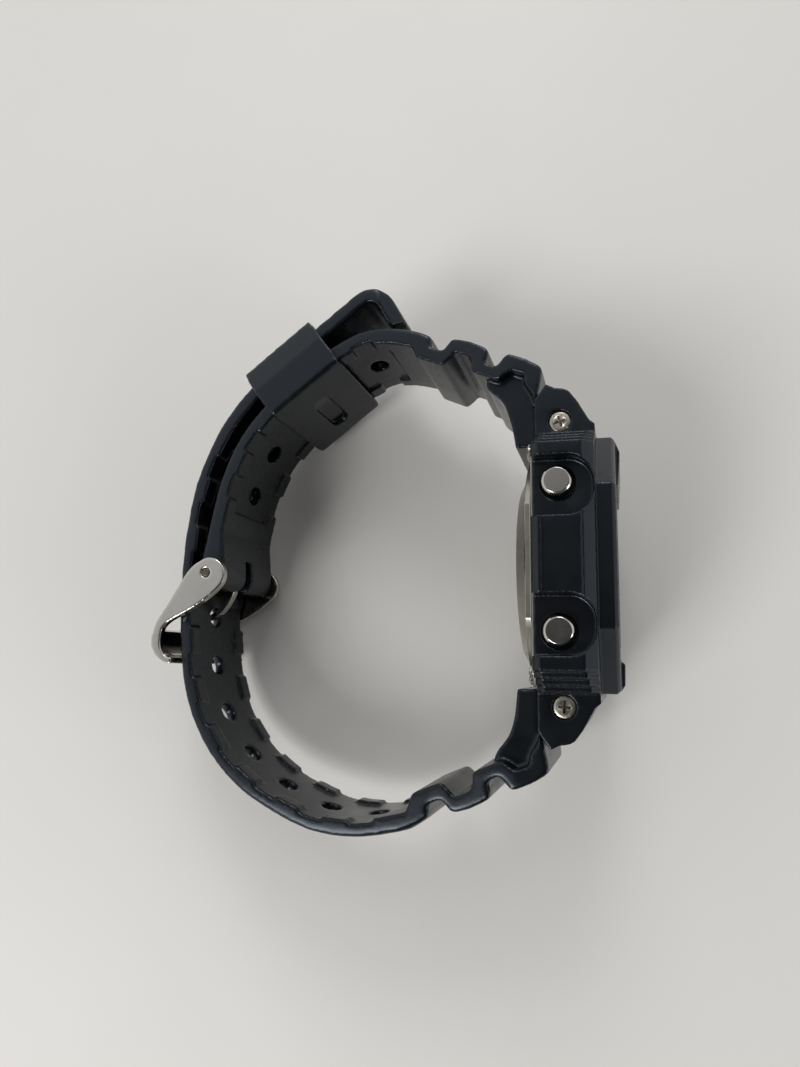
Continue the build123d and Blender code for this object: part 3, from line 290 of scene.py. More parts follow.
SPRING_STEEL = Finish("spring_steel_wire", "A5A39E", 0.3, 1.0, patch_size=0.8,
                      tint="8C8984")
PAD_RUBBER = Finish("silicone_pad", "3A3D40", 0.6, grain=Grain.MOULDED, tint="424548")
TABLE_PAINT = Finish("painted_table_top", "E6E3DE", 0.5, patch_size=60.0,
                     patch_roughness=0.03, tint="E1DED9")


# Meshes


def new_object(name: str, mesh: bpy.types.Mesh) -> bpy.types.Object:
    """Puts a mesh into the scene as an object of its own."""
    made = bpy.data.objects.new(name, mesh)
    bpy.context.scene.collection.objects.link(made)
    return made


def flatten_modifiers(thing: bpy.types.Object) -> None:
    """Turns an object's modifiers into a plain mesh and removes them."""
    bpy.context.view_layer.update()
    result = thing.evaluated_get(bpy.context.evaluated_depsgraph_get())
    mesh = bpy.data.meshes.new_from_object(result)
    thing.modifiers.clear()
    thing.data = mesh


def round_edges(piece: bpy.types.Object, width: float, segments: int,
                **settings: object) -> None:
    """Rounds the sharp edges of a piece and shades it smooth.

    Args:
        piece: the piece.
        width: how far from an edge the rounding starts.
        segments: the faces across the rounding.
        settings: how the edges are chosen and how roundings meet.
    """
    piece.data.shade_smooth()
    rounding = piece.modifiers.new("rounding", "BEVEL")
    rounding.width = width * MM
    rounding.segments = segments
    for name, value in settings.items():
        setattr(rounding, name, value)
    piece.modifiers.new("weighted", "WEIGHTED_NORMAL").keep_sharp = True
    flatten_modifiers(piece)


def ease(piece: bpy.types.Object, rounds: int, group: str = "") -> None:
    """Lets a piece be eased some rounds, all over or in a group of its corners."""
    easing = piece.modifiers.new("easing", "SMOOTH")
    easing.factor = EASING_FACTOR
    easing.iterations = rounds
    easing.vertex_group = group


def is_sharp(edge: bmesh.types.BMEdge, degrees: float) -> bool:
    """Whether two faces meet at an edge and bend there by an angle or more."""
    return len(edge.link_faces) == 2 and edge.calc_face_angle(0.0) >= math.radians(degrees)


# The record's material slots of the nodes that get new meshes; the others are resin
SLOTS = {
    "center_case": "case_polymer", "case_back": "steel_back",
    **dict.fromkeys((
        "bezel_screws", "case_back_screws", "buckle_frame", "buckle_tongue", "buckle_pin",
        *(name + "_button" for name in BUTTONS)), "steel_polished"),
    **dict.fromkeys((
        "buzzer_spring", *(name + "_spring" for name in BUTTONS)), "spring_steel")}


@dataclass
class Part:
    """A CAD node, its body and the finish that it gets."""

    node: str
    finish: Finish

    @property
    def source(self) -> bpy.types.Object:
        """The CAD object."""
        return frame["nodes"][self.node]

    @property
    def body(self) -> str:
        """The name of the body that the node rides on."""
        return self.source["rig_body"]

    @property
    def slot(self) -> str:
        """The record's material slot of the node."""
        return SLOTS.get(self.node, "resin")

    def paint(self) -> None:
        """Gives the CAD node its finish as it is."""
        mesh = self.source.data
        mesh.materials.clear()
        mesh.materials.append(self.finish.material())
        LOG.info("painted %s with %s", self.node, self.finish.name)

    def welded(self, name: str) -> tuple[bpy.types.Mesh, bmesh.types.BMesh]:
        """Copies the CAD node's mesh.

        Args:
            name: the copy's name.

        Returns:
            The copy as it is, and with its loose triangles joined, ready for changes.
        """
        mesh = self.source.data.copy()
        mesh.name = name
        joined = bmesh.new()
        joined.from_mesh(mesh)
        bmesh.ops.remove_doubles(joined, verts=joined.verts, dist=WELD * MM)
        return mesh, joined

    def soften(self, name: str, width: float, segments: int = 3) -> None:
        """Replaces the CAD node with a copy whose sharp edges are rounded.

        Args:
            name: the piece's name.
            width: the widest rounding, measured from the edge.
            segments: the faces across the rounding.
        """
        mesh, joined = self.welded(name)
        bmesh.ops.dissolve_limit(joined, angle_limit=math.radians(FLAT_DEGREES),
                                 verts=joined.verts, edges=joined.edges)
        self.weigh_edges(joined, width * MM)
        joined.to_mesh(mesh)
        joined.free()
        piece = new_object(name, mesh)
        round_edges(piece, width, segments, limit_method="WEIGHT", use_clamp_overlap=False,
                    miter_outer="MITER_ARC")
        self.stand_in(piece)
        LOG.info("rounded %s into %s, %d faces", self.node, name, len(piece.data.polygons))

    def mould(self, name: str, step: float, rounds: int, keep: float = 1.0,
              eased: EdgeRule | None = None) -> None:
        """Replaces the CAD node with an even skin whose edges are eased as a mould eases them.

        Args:
            name: the piece's name.
            step: the size of the skin's faces.
            rounds: how often the skin is eased; more rounds give rounder edges.
            keep: the share of the faces that stays, where flat parts need fewer.
            eased: gives the share of a far rounder easing that each CAD edge takes.
        """
        mesh, joined = self.welded(name)
        marks = self.edge_marks(joined, step * MM, eased) if eased else []
        joined.to_mesh(mesh)
        joined.free()
        mesh.transform(GRID)
        piece = new_object(name, mesh)
        skin = piece.modifiers.new("skin", "REMESH")
        skin.mode = "VOXEL"
        skin.voxel_size = step * MM
        skin.use_smooth_shade = True
        flatten_modifiers(piece)
        piece.data.transform(GRID.inverted())
        if marks:
            ease(piece, ROUNDING_ROUNDS, self.mark_edges(piece, marks))
        ease(piece, rounds)
        if keep < 1.0:
            piece.modifiers.new("thinning", "DECIMATE").ratio = keep
        flatten_modifiers(piece)
        piece.vertex_groups.clear()
        self.stand_in(piece)
        LOG.info("moulded %s into %s, %d faces", self.node, name, len(piece.data.polygons))

    @staticmethod
    def edge_marks(mesh: bmesh.types.BMesh, step: float,
                   eased: EdgeRule) -> list[tuple[Vector, float]]:
        """Lays marks along the CAD edges that are rounded most.

        Args:
            mesh: the CAD node's mesh.
            step: the room between marks, in metres.
            eased: gives each edge's share.

        Returns:
            The marks, each with its share.
        """
        mesh.normal_update()
        marks = []
        for edge in mesh.edges:
            share = eased(edge) if is_sharp(edge, MARKED_DEGREES) else 0.0
            if share <= 0.0:
                continue
            start, end = (corner.co for corner in edge.verts)
            count = max(1, round((end - start).length / step))
            marks += [(start.lerp(end, at / count), share) for at in range(count + 1)]
        return marks

    @staticmethod
    def mark_edges(piece: bpy.types.Object, marks: list[tuple[Vector, float]]) -> str:
        """Gives the skin near the marks its share of the rounding.

        Args:
            piece: the skin.
            marks: places along the edges, each with its share.

        Returns:
            The name of the group that holds the shares, which fade out from half the reach.
        """
        tree = KDTree(len(marks))
        for number, (place, _) in enumerate(marks):
            tree.insert(place, number)
        tree.balance()
        group = piece.vertex_groups.new(name="rounded")
        reach = ROUNDING_REACH * MM
        for corner in piece.data.vertices:
            _, number, distance = tree.find(corner.co)
            if distance < reach:
                fade = min(1.0, 2.0 * (1.0 - distance / reach))
                group.add([corner.index], fade * marks[number][1], "REPLACE")
        return group.name

    def stand_in(self, piece: bpy.types.Object) -> None:
        """Gives a piece the finish, and puts it in the CAD node's place."""
        piece.data.materials.clear()
        piece.data.materials.append(self.finish.material())
        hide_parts(self.node)
        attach(piece, self.body)

    @staticmethod
    def weigh_edges(mesh: bmesh.types.BMesh, width: float) -> None:
        """Gives each sharp edge the share of the rounding that its faces have room for.

        Args:
            mesh: the mesh to weigh.
            width: the full width of the rounding, in metres.
        """
        mesh.normal_update()
        weights = mesh.edges.layers.float.new("bevel_weight_edge")
        for edge in mesh.edges:
            if not is_sharp(edge, SHARP_DEGREES):
                continue
            start, end = (corner.co for corner in edge.verts)
            along = (end - start).normalized()
            room = min(
                max((corner.co - start).cross(along).length for corner in face.verts)
                for face in edge.link_faces)
            edge[weights] = min(1.0, ROOM_SHARE * room / width)


# The photograph's studio


@dataclass(frozen=True)
class CaseFrame:
    """The watch case's own axes: X out of the dial, Y to twelve, Z out of the nine side."""

    origin: Vector
    x: Vector
    y: Vector
    z: Vector

    @classmethod
    def from_joints(cls) -> "CaseFrame":
        """Finds the case's axes from the four buttons.

        Returns:
            The case's frame in metres.
        """
        joints = {joint["name"]: joint for joint in frame["joints"]}
        places = [Vector(joints[name + "_press"]["pos_m"]) for name in BUTTONS]
        inward = Vector(joints["adjust_press"]["axis"])
        y, z = Vector((0, 1, 0)), -inward.normalized()
        x = y.cross(z)
        middle = sum(places, Vector()) / len(places)
        return cls(middle - x * BUTTON_X * MM, x, y, z)

    def turned(self, x: float, y: float, z: float) -> Vector:
        """A direction given in the case's axes."""
        return self.x * x + self.y * y + self.z * z

    def at(self, x: float, y: float, z: float) -> Vector:
        """A place given in millimetres from the middle of the case."""
        return self.origin + self.turned(x, y, z) * MM

    def local(self, place: Vector) -> Vector:
        """A place in millimetres in the case's axes."""
        away = (place - self.origin) / MM
        return Vector((away.dot(self.x), away.dot(self.y), away.dot(self.z)))

    def side_shares(self, edge: bmesh.types.BMEdge) -> list[float]:
        """How squarely each face at an edge looks towards nine or three."""
        return [abs(face.normal.dot(self.z)) for face in edge.link_faces]

    def on_rim(self, edge: bmesh.types.BMEdge) -> bool:
        """Whether an edge bounds a face that looks towards nine or three."""
        shares = self.side_shares(edge)
        return max(shares) > ALONG_SHARE and min(shares) < ACROSS_SHARE


@dataclass(frozen=True)
class Lamp:
    """A square soft lamp that faces the watch, and its place from under the watch's middle."""

    name: str
    place: tuple[float, float, float]
    size: float
    watts: float

    def hang(self) -> None:
        """Puts the lamp into the scene."""
        lamp = bpy.data.lights.new(self.name, "AREA")
        lamp.shape = "SQUARE"
        lamp.size = self.size * MM
        lamp.energy = self.watts
        holder = bpy.data.objects.new(self.name, lamp)
        spot = Vector(self.place) * MM
        turn = (-spot).to_track_quat("-Z", "Y").to_matrix().to_4x4()
        holder.matrix_world = Matrix.Translation(spot) @ turn
        bpy.context.scene.collection.objects.link(holder)


@dataclass
class Studio:
    """The camera at the photograph's place, the lamps and the pale table."""

    case: CaseFrame
    camera_place: tuple[float, float, float] = (5.874, -14.21, 120.731)
    camera_forward: tuple[float, float, float] = (-0.265169, 0.164125, -0.950132)
    camera_right: tuple[float, float, float] = (0.963815, 0.017063, -0.266037)
    focal_pixels: float = 800.0
    picture_height: float = 1067.0
    sensor: float = 36.0
    nearest_seen: float = 10.0
    table_reach: float = 3000.0
    table_drop: float = 0.02
    room_colour: str = "F4F5F7"
    dark_middle: tuple[float, float, float] = (0.05, -0.45, 0.892)
    dark_core_degrees: float = 30.0
    dark_edge_degrees: float = 62.0
    dark_strength: float = 0.05
    bright_strength: float = 0.86
    lamps: tuple[Lamp, ...] = (
        Lamp("low_lamp", (-600.0, -560.0, 820.0), 420.0, 5.6),
        Lamp("window_lamp", (-60.0, 980.0, 760.0), 400.0, 3.2),
        Lamp("side_lamp", (940.0, -420.0, 520.0), 360.0, 1.4))

    def build(self) -> None:
        """Makes the whole studio."""
        self.add_camera()
        self.add_table()
        self.add_room()
        for lamp in self.lamps:
            lamp.hang()
        LOG.info("studio ready")

    def add_camera(self) -> None:
        """Makes the camera that sees what the photograph shows."""
        lens = bpy.data.cameras.new("camera")
        lens.lens = self.focal_pixels / self.picture_height * self.sensor
        lens.sensor_width = self.sensor
        lens.clip_start = self.nearest_seen * MM
        back = -self.case.turned(*self.camera_forward).normalized()
        right = self.case.turned(*self.camera_right).normalized()
        up = back.cross(right).normalized()
        turn = Matrix((right, up, back)).transposed()
        camera = bpy.data.objects.new("camera", lens)
        place = self.case.at(*self.camera_place)
        camera.matrix_world = Matrix.Translation(place) @ turn.to_4x4()
        bpy.context.scene.collection.objects.link(camera)
        bpy.context.scene.camera = camera

    def add_table(self) -> None:
        """Makes the plain pale table top under the watch."""
        mesh = bpy.data.meshes.new("table_top")
        reach, low = self.table_reach * MM, -self.table_drop * MM
        mesh.from_pydata([(-reach, -reach, low), (reach, -reach, low), (reach, reach, low),
                          (-reach, reach, low)], [], [(0, 1, 2, 3)])
        mesh.materials.append(TABLE_PAINT.material())
        new_object("table_top", mesh)

    def add_room(self) -> None:
        """Lights the watch with a pale room that is dim overhead, where the photographer is."""
        world = bpy.data.worlds.new("room")
        world.use_nodes = True
        tree = world.node_tree
        ground = tree.nodes["Background"]
        ground.inputs["Color"].default_value = linear(self.room_colour)
        ray = add_node(tree, "ShaderNodeTexCoord").outputs["Generated"]
        toward = add_node(tree, "ShaderNodeVectorMath", {0: ray, 1: self.dark_middle},
                          operation="DOT_PRODUCT")
        level = add_node(tree, "ShaderNodeMapRange", {
            "Value": toward.outputs["Value"],
            "From Min": math.cos(math.radians(self.dark_edge_degrees)),
            "From Max": math.cos(math.radians(self.dark_core_degrees)),
            "To Min": self.bright_strength, "To Max": self.dark_strength},
            interpolation_type="SMOOTHSTEP")
        tree.links.new(level.outputs["Result"], ground.inputs["Strength"])
        bpy.context.scene.world = world


# Pieces that repeat

Value = bpy.types.NodeSocket | float


@dataclass
class Recipe:
    """A Geometry Nodes tree with its sizes in metres as named inputs."""

    name: str
    sizes: dict[str, float]
    tree: bpy.types.NodeTree = field(init=False)
    source: bpy.types.Node = field(init=False)
    sockets: dict[str, str] = field(init=False)

    def __post_init__(self) -> None:
        """Makes the tree with its inputs and its output."""
        self.tree = bpy.data.node_groups.new(self.name, "GeometryNodeTree")
        face = self.tree.interface
        face.new_socket("Geometry", in_out="INPUT", socket_type="NodeSocketGeometry")
        face.new_socket("Geometry", in_out="OUTPUT", socket_type="NodeSocketGeometry")
        self.sockets = {
            name: face.new_socket(
                name, in_out="INPUT", socket_type="NodeSocketFloat").identifier
            for name in self.sizes}
        self.source = add_node(self.tree, "NodeGroupInput")

    def size(self, name: str) -> bpy.types.NodeSocket:
        """The socket of a named size."""
        return self.source.outputs[name]

    def add(self, kind: str, inputs: dict | None = None, **settings: object) -> bpy.types.Node:
        """Adds a node to the tree."""
        return add_node(self.tree, kind, inputs, **settings)

    def worked(self, operation: str, first: Value, second: Value) -> bpy.types.NodeSocket:
        """The result of one step of arithmetic."""
        return self.add("ShaderNodeMath", {0: first, 1: second}, operation=operation).outputs[0]

    def scaled(self, name: str, factor: float) -> bpy.types.NodeSocket:
        """A named size times a factor."""
        return self.worked("MULTIPLY", self.size(name), factor)

    def vector(self, **parts: Value) -> bpy.types.NodeSocket:
        """A vector from its parts X, Y and Z."""
        return self.add("ShaderNodeCombineXYZ", parts).outputs[0]

    def moved(self, form: bpy.types.NodeSocket, z: Value,
              turn: float = 0.0) -> bpy.types.NodeSocket:
        """Moves a form along its own Z after a turn about it."""
        return self.add("GeometryNodeTransform", {
            "Geometry": form, "Translation": self.vector(Z=z),
            "Rotation": (0.0, 0.0, turn)}).outputs[0]

    def attribute(self, name: str, kind: str) -> bpy.types.NodeSocket:
        """A value that each point carries."""
        return self.add("GeometryNodeInputNamedAttribute", {"Name": name},
                        data_type=kind).outputs["Attribute"]

    def aimed(self) -> bpy.types.NodeSocket:
        """The turn that lays a form's Z along each point's aim."""
        return self.add("FunctionNodeAlignRotationToVector", {
            "Vector": self.attribute("aim", "FLOAT_VECTOR")}, axis="Z").outputs[0]

    def squared(self, axis: str, toward: Vector) -> bpy.types.NodeSocket:
        """The same turn, with another axis of the form turned towards a direction.

        Args:
            axis: the other axis.
            toward: its direction.

        Returns:
            The turn.
        """
        return self.add("FunctionNodeAlignRotationToVector", {
            "Rotation": self.aimed(), "Vector": tuple(toward)}, axis=axis,
            pivot_axis="Z").outputs[0]

    def finish(self, form: bpy.types.NodeSocket, turn: bpy.types.NodeSocket,
               material: bpy.types.Material, **more: bpy.types.NodeSocket) -> None:
        """Ends the tree: the form on every point, as real geometry with its material.

        Args:
            form: what each point gets.
            turn: how it is turned there.
            material: what it is made of.
            more: other inputs of the node that sets the forms.
        """
        copies = self.add("GeometryNodeInstanceOnPoints", {
            "Points": self.source.outputs["Geometry"], "Instance": form, "Rotation": turn,
            **more}).outputs[0]
        solid = self.add("GeometryNodeRealizeInstances", {"Geometry": copies}).outputs[0]
        dressed = self.add("GeometryNodeSetMaterial", {"Geometry": solid, "Material": material})
        self.tree.links.new(
            dressed.outputs[0], add_node(self.tree, "NodeGroupOutput").inputs["Geometry"])

    def make(self, name: str, base: bpy.types.Mesh) -> bpy.types.Object:
        """Runs the tree on a base mesh and keeps the plain result.

        Args:
            name: the piece's name.
            base: the points or lines that the tree starts from.

        Returns:
            The new piece.
        """
        piece = new_object(name, base)
        modifier = piece.modifiers.new(self.name, "NODES")
        modifier.node_group = self.tree
        for size, identifier in self.sockets.items():
            modifier[identifier] = self.sizes[size]
        flatten_modifiers(piece)
        return piece


def point_mesh(name: str, places: list[Vector], aims: list[Vector],
               lengths: list[float] | None = None) -> bpy.types.Mesh:
    """Makes a mesh of loose points that a recipe sets pieces on.

    Args:
        name: the mesh's name.
        places: the points, in metres.
        aims: for each point the direction that its piece faces.
        lengths: for each point a length of its own.

    Returns:
        The mesh, with the directions in the attribute aim and the lengths in reach.
    """
    mesh = bpy.data.meshes.new(name)
    mesh.from_pydata([tuple(place) for place in places], [], [])
    aim = mesh.attributes.new("aim", "FLOAT_VECTOR", "POINT")
    for item, direction in zip(aim.data, aims):
        item.vector = direction
    if lengths:
        reach = mesh.attributes.new("reach", "FLOAT", "POINT")
        for item, length in zip(reach.data, lengths):
            item.value = length
    return mesh


@dataclass
class CrossScrews:
    """Cross-head screws, each with a dished head, a cross recess and a plain shank."""

    name: str
    finish: Finish
    head_radius: float
    head_height: float
    dish: float
    cross_length: float
    cross_width: float
    cross_depth: float
    shank_radius: float
    shank_length: float
    rounding: float = 0.07
    crown_share: float = 0.72
    least_spin: float = -0.1
    most_spin: float = 0.45
    seed: int = 7
    sides: int = 48
    shank_sides: int = 24

    def recipe(self) -> Recipe:
        """Makes the tree that forms one screw and sets it on every point.

        Returns:
            The recipe.
        """
        tool = Recipe(self.name, {
            "Head Radius": self.head_radius * MM, "Head Height": self.head_height * MM,
            "Dish": self.dish * MM, "Cross Length": self.cross_length * MM,
            "Cross Width": self.cross_width * MM, "Cross Depth": self.cross_depth * MM,
            "Shank Radius": self.shank_radius * MM, "Shank Length": self.shank_length * MM})
        rim = tool.worked("SUBTRACT", tool.size("Head Height"), tool.size("Dish"))
        low = tool.worked("SUBTRACT", tool.worked("MULTIPLY", rim, -0.5), tool.size("Dish"))
        under = tool.worked(
            "SUBTRACT", tool.scaled("Shank Length", -0.5), tool.size("Head Height"))
        head = tool.add("GeometryNodeMeshCylinder", {
            "Vertices": self.sides, "Radius": tool.size("Head Radius"), "Depth": rim})
        crown = tool.add("GeometryNodeMeshCone", {
            "Vertices": self.sides, "Radius Top": tool.scaled("Head Radius", self.crown_share),
            "Radius Bottom": tool.size("Head Radius"), "Depth": tool.size("Dish")})
        shank = tool.add("GeometryNodeMeshCylinder", {
            "Vertices": self.shank_sides, "Radius": tool.size("Shank Radius"),
            "Depth": tool.size("Shank Length")})
        parts = tool.add("GeometryNodeMeshBoolean", operation="UNION")
        for form, z in ((head, low), (crown, tool.scaled("Dish", -1.0)), (shank, under)):
            tool.tree.links.new(tool.moved(form.outputs["Mesh"], z), parts.inputs["Mesh 2"])
        arm = tool.add("GeometryNodeMeshCube", {"Size": tool.vector(
            X=tool.size("Cross Length"), Y=tool.size("Cross Width"),
            Z=tool.scaled("Cross Depth", 2.0))}).outputs["Mesh"]
        cut = tool.add("GeometryNodeMeshBoolean", {"Mesh 1": parts.outputs["Mesh"]},
                       operation="DIFFERENCE")
        for turn in (0.0, math.pi / 2):
            tool.tree.links.new(tool.moved(arm, 0.0, turn), cut.inputs["Mesh 2"])
        spin = tool.add("FunctionNodeRandomValue", {
            "Min": self.least_spin, "Max": self.most_spin, "Seed": self.seed},
            data_type="FLOAT")
        own = tool.add("FunctionNodeAxisAngleToRotation", {
            "Axis": (0.0, 0.0, 1.0), "Angle": spin.outputs[1]})
        turned = tool.add("FunctionNodeRotateRotation", {
            0: tool.aimed(), 1: own.outputs[0]}, rotation_space="LOCAL")
        tool.finish(cut.outputs["Mesh"], turned.outputs[0], self.finish.material())
        return tool

    def fit(self, node: str, places: list[Vector], aims: list[Vector]) -> None:
        """Makes the screws with their heads' tops at the places, and rounds their edges.

        Args:
            node: the CAD node that they stand for.
            places: the middles of the heads' tops.
            aims: the direction that each head faces.
        """
        piece = self.recipe().make(self.name, point_mesh(self.name, places, aims))
        round_edges(piece, self.rounding, 3, limit_method="ANGLE",
                    angle_limit=math.radians(SHARP_DEGREES))
        Part(node, self.finish).stand_in(piece)
        LOG.info("set %d screws in place of %s", len(places), node)


@dataclass
class CoilSpring:
    """A compression spring of round wire, wound from one end to the other."""

    wire: float
    radius: float
    turns: float
    steps_per_turn: int = 32
    wire_sides: int = 12

    def make(self, name: str, start: Vector, end: Vector) -> bpy.types.Object:
        """Winds the spring between two places.

        Args:
            name: the piece's name.
            start: the middle of its fixed end, in metres.
            end: the middle of its other end.

        Returns:
            The spring as a plain mesh.
        """
        height = (end - start).length
        tool = Recipe(name, {
            "Wire Radius": self.wire / 2 * MM, "Coil Radius": self.radius * MM,
            "Height": height - self.wire * MM})
        path = tool.add("GeometryNodeCurveSpiral", {
            "Resolution": self.steps_per_turn, "Rotations": self.turns,
            "Start Radius": tool.size("Coil Radius"), "End Radius": tool.size("Coil Radius"),
            "Height": tool.size("Height")})
        ring = tool.add("GeometryNodeCurvePrimitiveCircle", {
            "Resolution": self.wire_sides, "Radius": tool.size("Wire Radius")})
        wire = tool.add("GeometryNodeCurveToMesh", {
            "Curve": path.outputs[0], "Profile Curve": ring.outputs[0], "Fill Caps": True})
        lifted = tool.moved(wire.outputs[0], tool.size("Wire Radius"))
        smooth = tool.add("GeometryNodeSetShadeSmooth", {"Geometry": lifted})
        tool.finish(smooth.outputs[0], tool.aimed(), SPRING_STEEL.material())
        return tool.make(name, point_mesh(name, [start], [end - start]))


# The watch


@dataclass
class CaseShell:
    """The resin bezel with its screws, and the inner case that it covers."""

    case: CaseFrame
    bezel_step: float = 0.15
    bezel_rounds: int = 4
    bezel_keep: float = 0.25
    case_rounding: float = 0.15
    screw_x: float = -1.6
    screw_y: float = 19.0
    screw_top: float = 14.3

    def build(self) -> None:
        """Makes the bezel, its screws and the inner case."""
        Part("bezel", RESIN).mould("bezel_shell", self.bezel_step, self.bezel_rounds,
                                   self.bezel_keep)
        Part("center_case", CASE_POLYMER).soften("inner_case", self.case_rounding)
        Part("button_bushes", SCREW_STEEL).paint()
        CrossScrews("bezel_cross_screws", SCREW_STEEL, head_radius=1.42, head_height=0.9,
                    dish=0.16, cross_length=1.6, cross_width=0.34, cross_depth=0.45,
                    shank_radius=0.8, shank_length=4.2).fit(
            "bezel_screws",
            [self.case.at(self.screw_x, end * self.screw_y, side * self.screw_top)
             for end, side in CORNERS],
            [self.case.turned(0, 0, side) for _, side in CORNERS])


@dataclass
class BackCover:
    """The pressed steel back and its screws."""

    case: CaseFrame
    rounding: float = 0.14
    screw_x: float = -6.1
    screw_y: float = 15.0
    screw_z: float = 13.2

    def build(self) -> None:
        """Makes the back and its screws."""
        Part("case_back", BRUSHED_STEEL).soften("back_cover", self.rounding)
        Part("back_gasket", SEAL_RUBBER).paint()
        CrossScrews("back_cross_screws", SCREW_STEEL, head_radius=1.25, head_height=0.5,
                    dish=0.2, cross_length=1.3, cross_width=0.32, cross_depth=0.28,
                    shank_radius=0.6, shank_length=3.2, rounding=0.05).fit(
            "case_back_screws",
            [self.case.at(self.screw_x, end * self.screw_y, side * self.screw_z)
             for end, side in CORNERS],
            [self.case.turned(-1, 0, 0)] * len(CORNERS))


@dataclass
class StrapHalves:
    """Both halves of the strap and the bars that hold them."""

    case: CaseFrame
    rounds: int = 6
    keep: float = 0.6
    crest_share: float = 0.25
    outward_share: float = 0.3
    ridges_end_x: float = -20.5
    loop_middle: tuple[float, float] = (-27.0, 0.0)
    steps: dict[str, float] = field(default_factory=lambda: {
        "buckle_strap": 0.22, "tip_strap": 0.27})

    def build(self) -> None:
        """Makes both halves."""
        for node, name in (("buckle_strap", "strap_buckle_half"), ("tip_strap", "strap_tip_half")):
            Part(node, RESIN).mould(name, self.steps[node], self.rounds, self.keep,
                                    self.edge_share)
        for node in ("spring_bar_12", "spring_bar_6"):
            Part(node, SPRING_STEEL).paint()

    def edge_share(self, edge: bmesh.types.BMEdge) -> float:
        """The outer long edges are rounded most, and less so where the strap is ridged.

        Args:
            edge: an edge of the strap.

        Returns:
            The share of the full rounding.
        """
        if not self.case.on_rim(edge):
            return 0.0
        middle = self.case.local((edge.verts[0].co + edge.verts[1].co) / 2)
        outward = self.case.turned(
            middle.x - self.loop_middle[0], middle.y - self.loop_middle[1], 0).normalized()
        sides = self.case.side_shares(edge)
        other = edge.link_faces[sides.index(min(sides))]
        if other.normal.dot(outward) < self.outward_share:
            return 0.0
        return self.crest_share if middle.x > self.ridges_end_x else 1.0


@dataclass
class Keeper:
    """The loop that holds the strap's free tip."""

    case: CaseFrame
    step: float = 0.2
    rounds: int = 4
    corner_share: float = 1.0
    least_corner: float = 3.0
    heading_degrees: float = 217.5

    def build(self) -> None:
        """Makes the keeper."""
        Part("keeper", RESIN).mould("keeper_band", self.step, self.rounds, eased=self.edge_share)

    def edge_share(self, edge: bmesh.types.BMEdge) -> float:
        """The band's long corners are rounded most.

        Args:
            edge: an edge of the keeper.

        Returns:
            The share of the full rounding.
        """
        heading = math.radians(self.heading_degrees)
        along = self.case.turned(math.cos(heading), math.sin(heading), 0)
        middle = (edge.verts[0].co + edge.verts[1].co) / 2
        outside = (middle - self.band_middle).dot(
            sum((face.normal for face in edge.link_faces), Vector())) > 0
        run = edge.verts[1].co - edge.verts[0].co
        lengthwise = (run.length > self.least_corner * MM
                      and abs(run.normalized().dot(along)) > ALONG_SHARE)
        return self.corner_share if lengthwise and outside else 0.0

    @cached_property
    def band_middle(self) -> Vector:
        """The middle of the band."""
        corners = [corner.co for corner in Part("keeper", RESIN).source.data.vertices]
        return sum(corners, Vector()) / len(corners)


@dataclass
class Buckle:
    """The steel frame, its prong and the pin they turn on."""

    case: CaseFrame
    frame_step: float = 0.11
    rounds: int = 3
    arm_share: float = 0.45
    prong_rounding: float = 0.16
    pin_rounding: float = 0.15

    def build(self) -> None:
        """Makes the frame, the prong and the pin."""
        Part("buckle_frame", POLISHED_STEEL).mould(
            "buckle_loop", self.frame_step, self.rounds, eased=self.edge_share)
        Part("buckle_tongue", POLISHED_STEEL).soften("buckle_prong", self.prong_rounding,
                                                     segments=4)
        Part("buckle_pin", PIN_STEEL).soften("buckle_axle", self.pin_rounding)

    def edge_share(self, edge: bmesh.types.BMEdge) -> float:
        """The edges of the arms' outer faces are rounded, as stamping and tumbling leave them.

        Args:
            edge: an edge of the frame.

        Returns:
            The share of the full rounding.
        """
        return self.arm_share if self.case.on_rim(edge) else 0.0


@dataclass
class Pushers:
    """The four push buttons with their seals, clips and springs."""

    case: CaseFrame
    rounding: float = 0.12
    spring_from_z: float = 16.9
    spring_to_z: float = 19.5
    travel: float = 0.8
    y: float = 9.5

    def build(self) -> None:
        """Makes each button with its seal, clip and spring."""
        spring = CoilSpring(wire=0.24, radius=1.3, turns=3.5)
        for name, (end, side) in BUTTONS.items():
            Part(name + "_button", POLISHED_STEEL).soften(name + "_pusher", self.rounding)
            Part(name + "_seal", SEAL_RUBBER).paint()
            Part(name + "_clip", SPRING_STEEL).paint()
            start, stop = (self.case.at(BUTTON_X, end * self.y, side * z)
                           for z in (self.spring_from_z, self.spring_to_z))
            piece = spring.make(name + "_coil", start, stop)
            Part(name + "_spring", SPRING_STEEL).stand_in(piece)
            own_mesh(piece)


# Which of the seven segments each digit lights
DIGIT_SEGMENTS = {
    "0": "abcdef", "1": "bc", "2": "abdeg", "3": "abcdg", "4": "bcfg", "5": "acdfg",
    "6": "acdefg", "7": "abc", "8": "abcdefg", "9": "abcdfg"}
# Where each segment lies, as shares of its length: how many halves of it to the right, how far
# up, and whether it stands upright
SEGMENT_PLACES = {
    "a": (0.0, 2.0, False), "b": (1.0, 1.5, True), "c": (1.0, 0.5, True),
    "d": (0.0, 0.0, False), "e": (-1.0, 0.5, True), "f": (-1.0, 1.5, True),
    "g": (0.0, 1.0, False)}


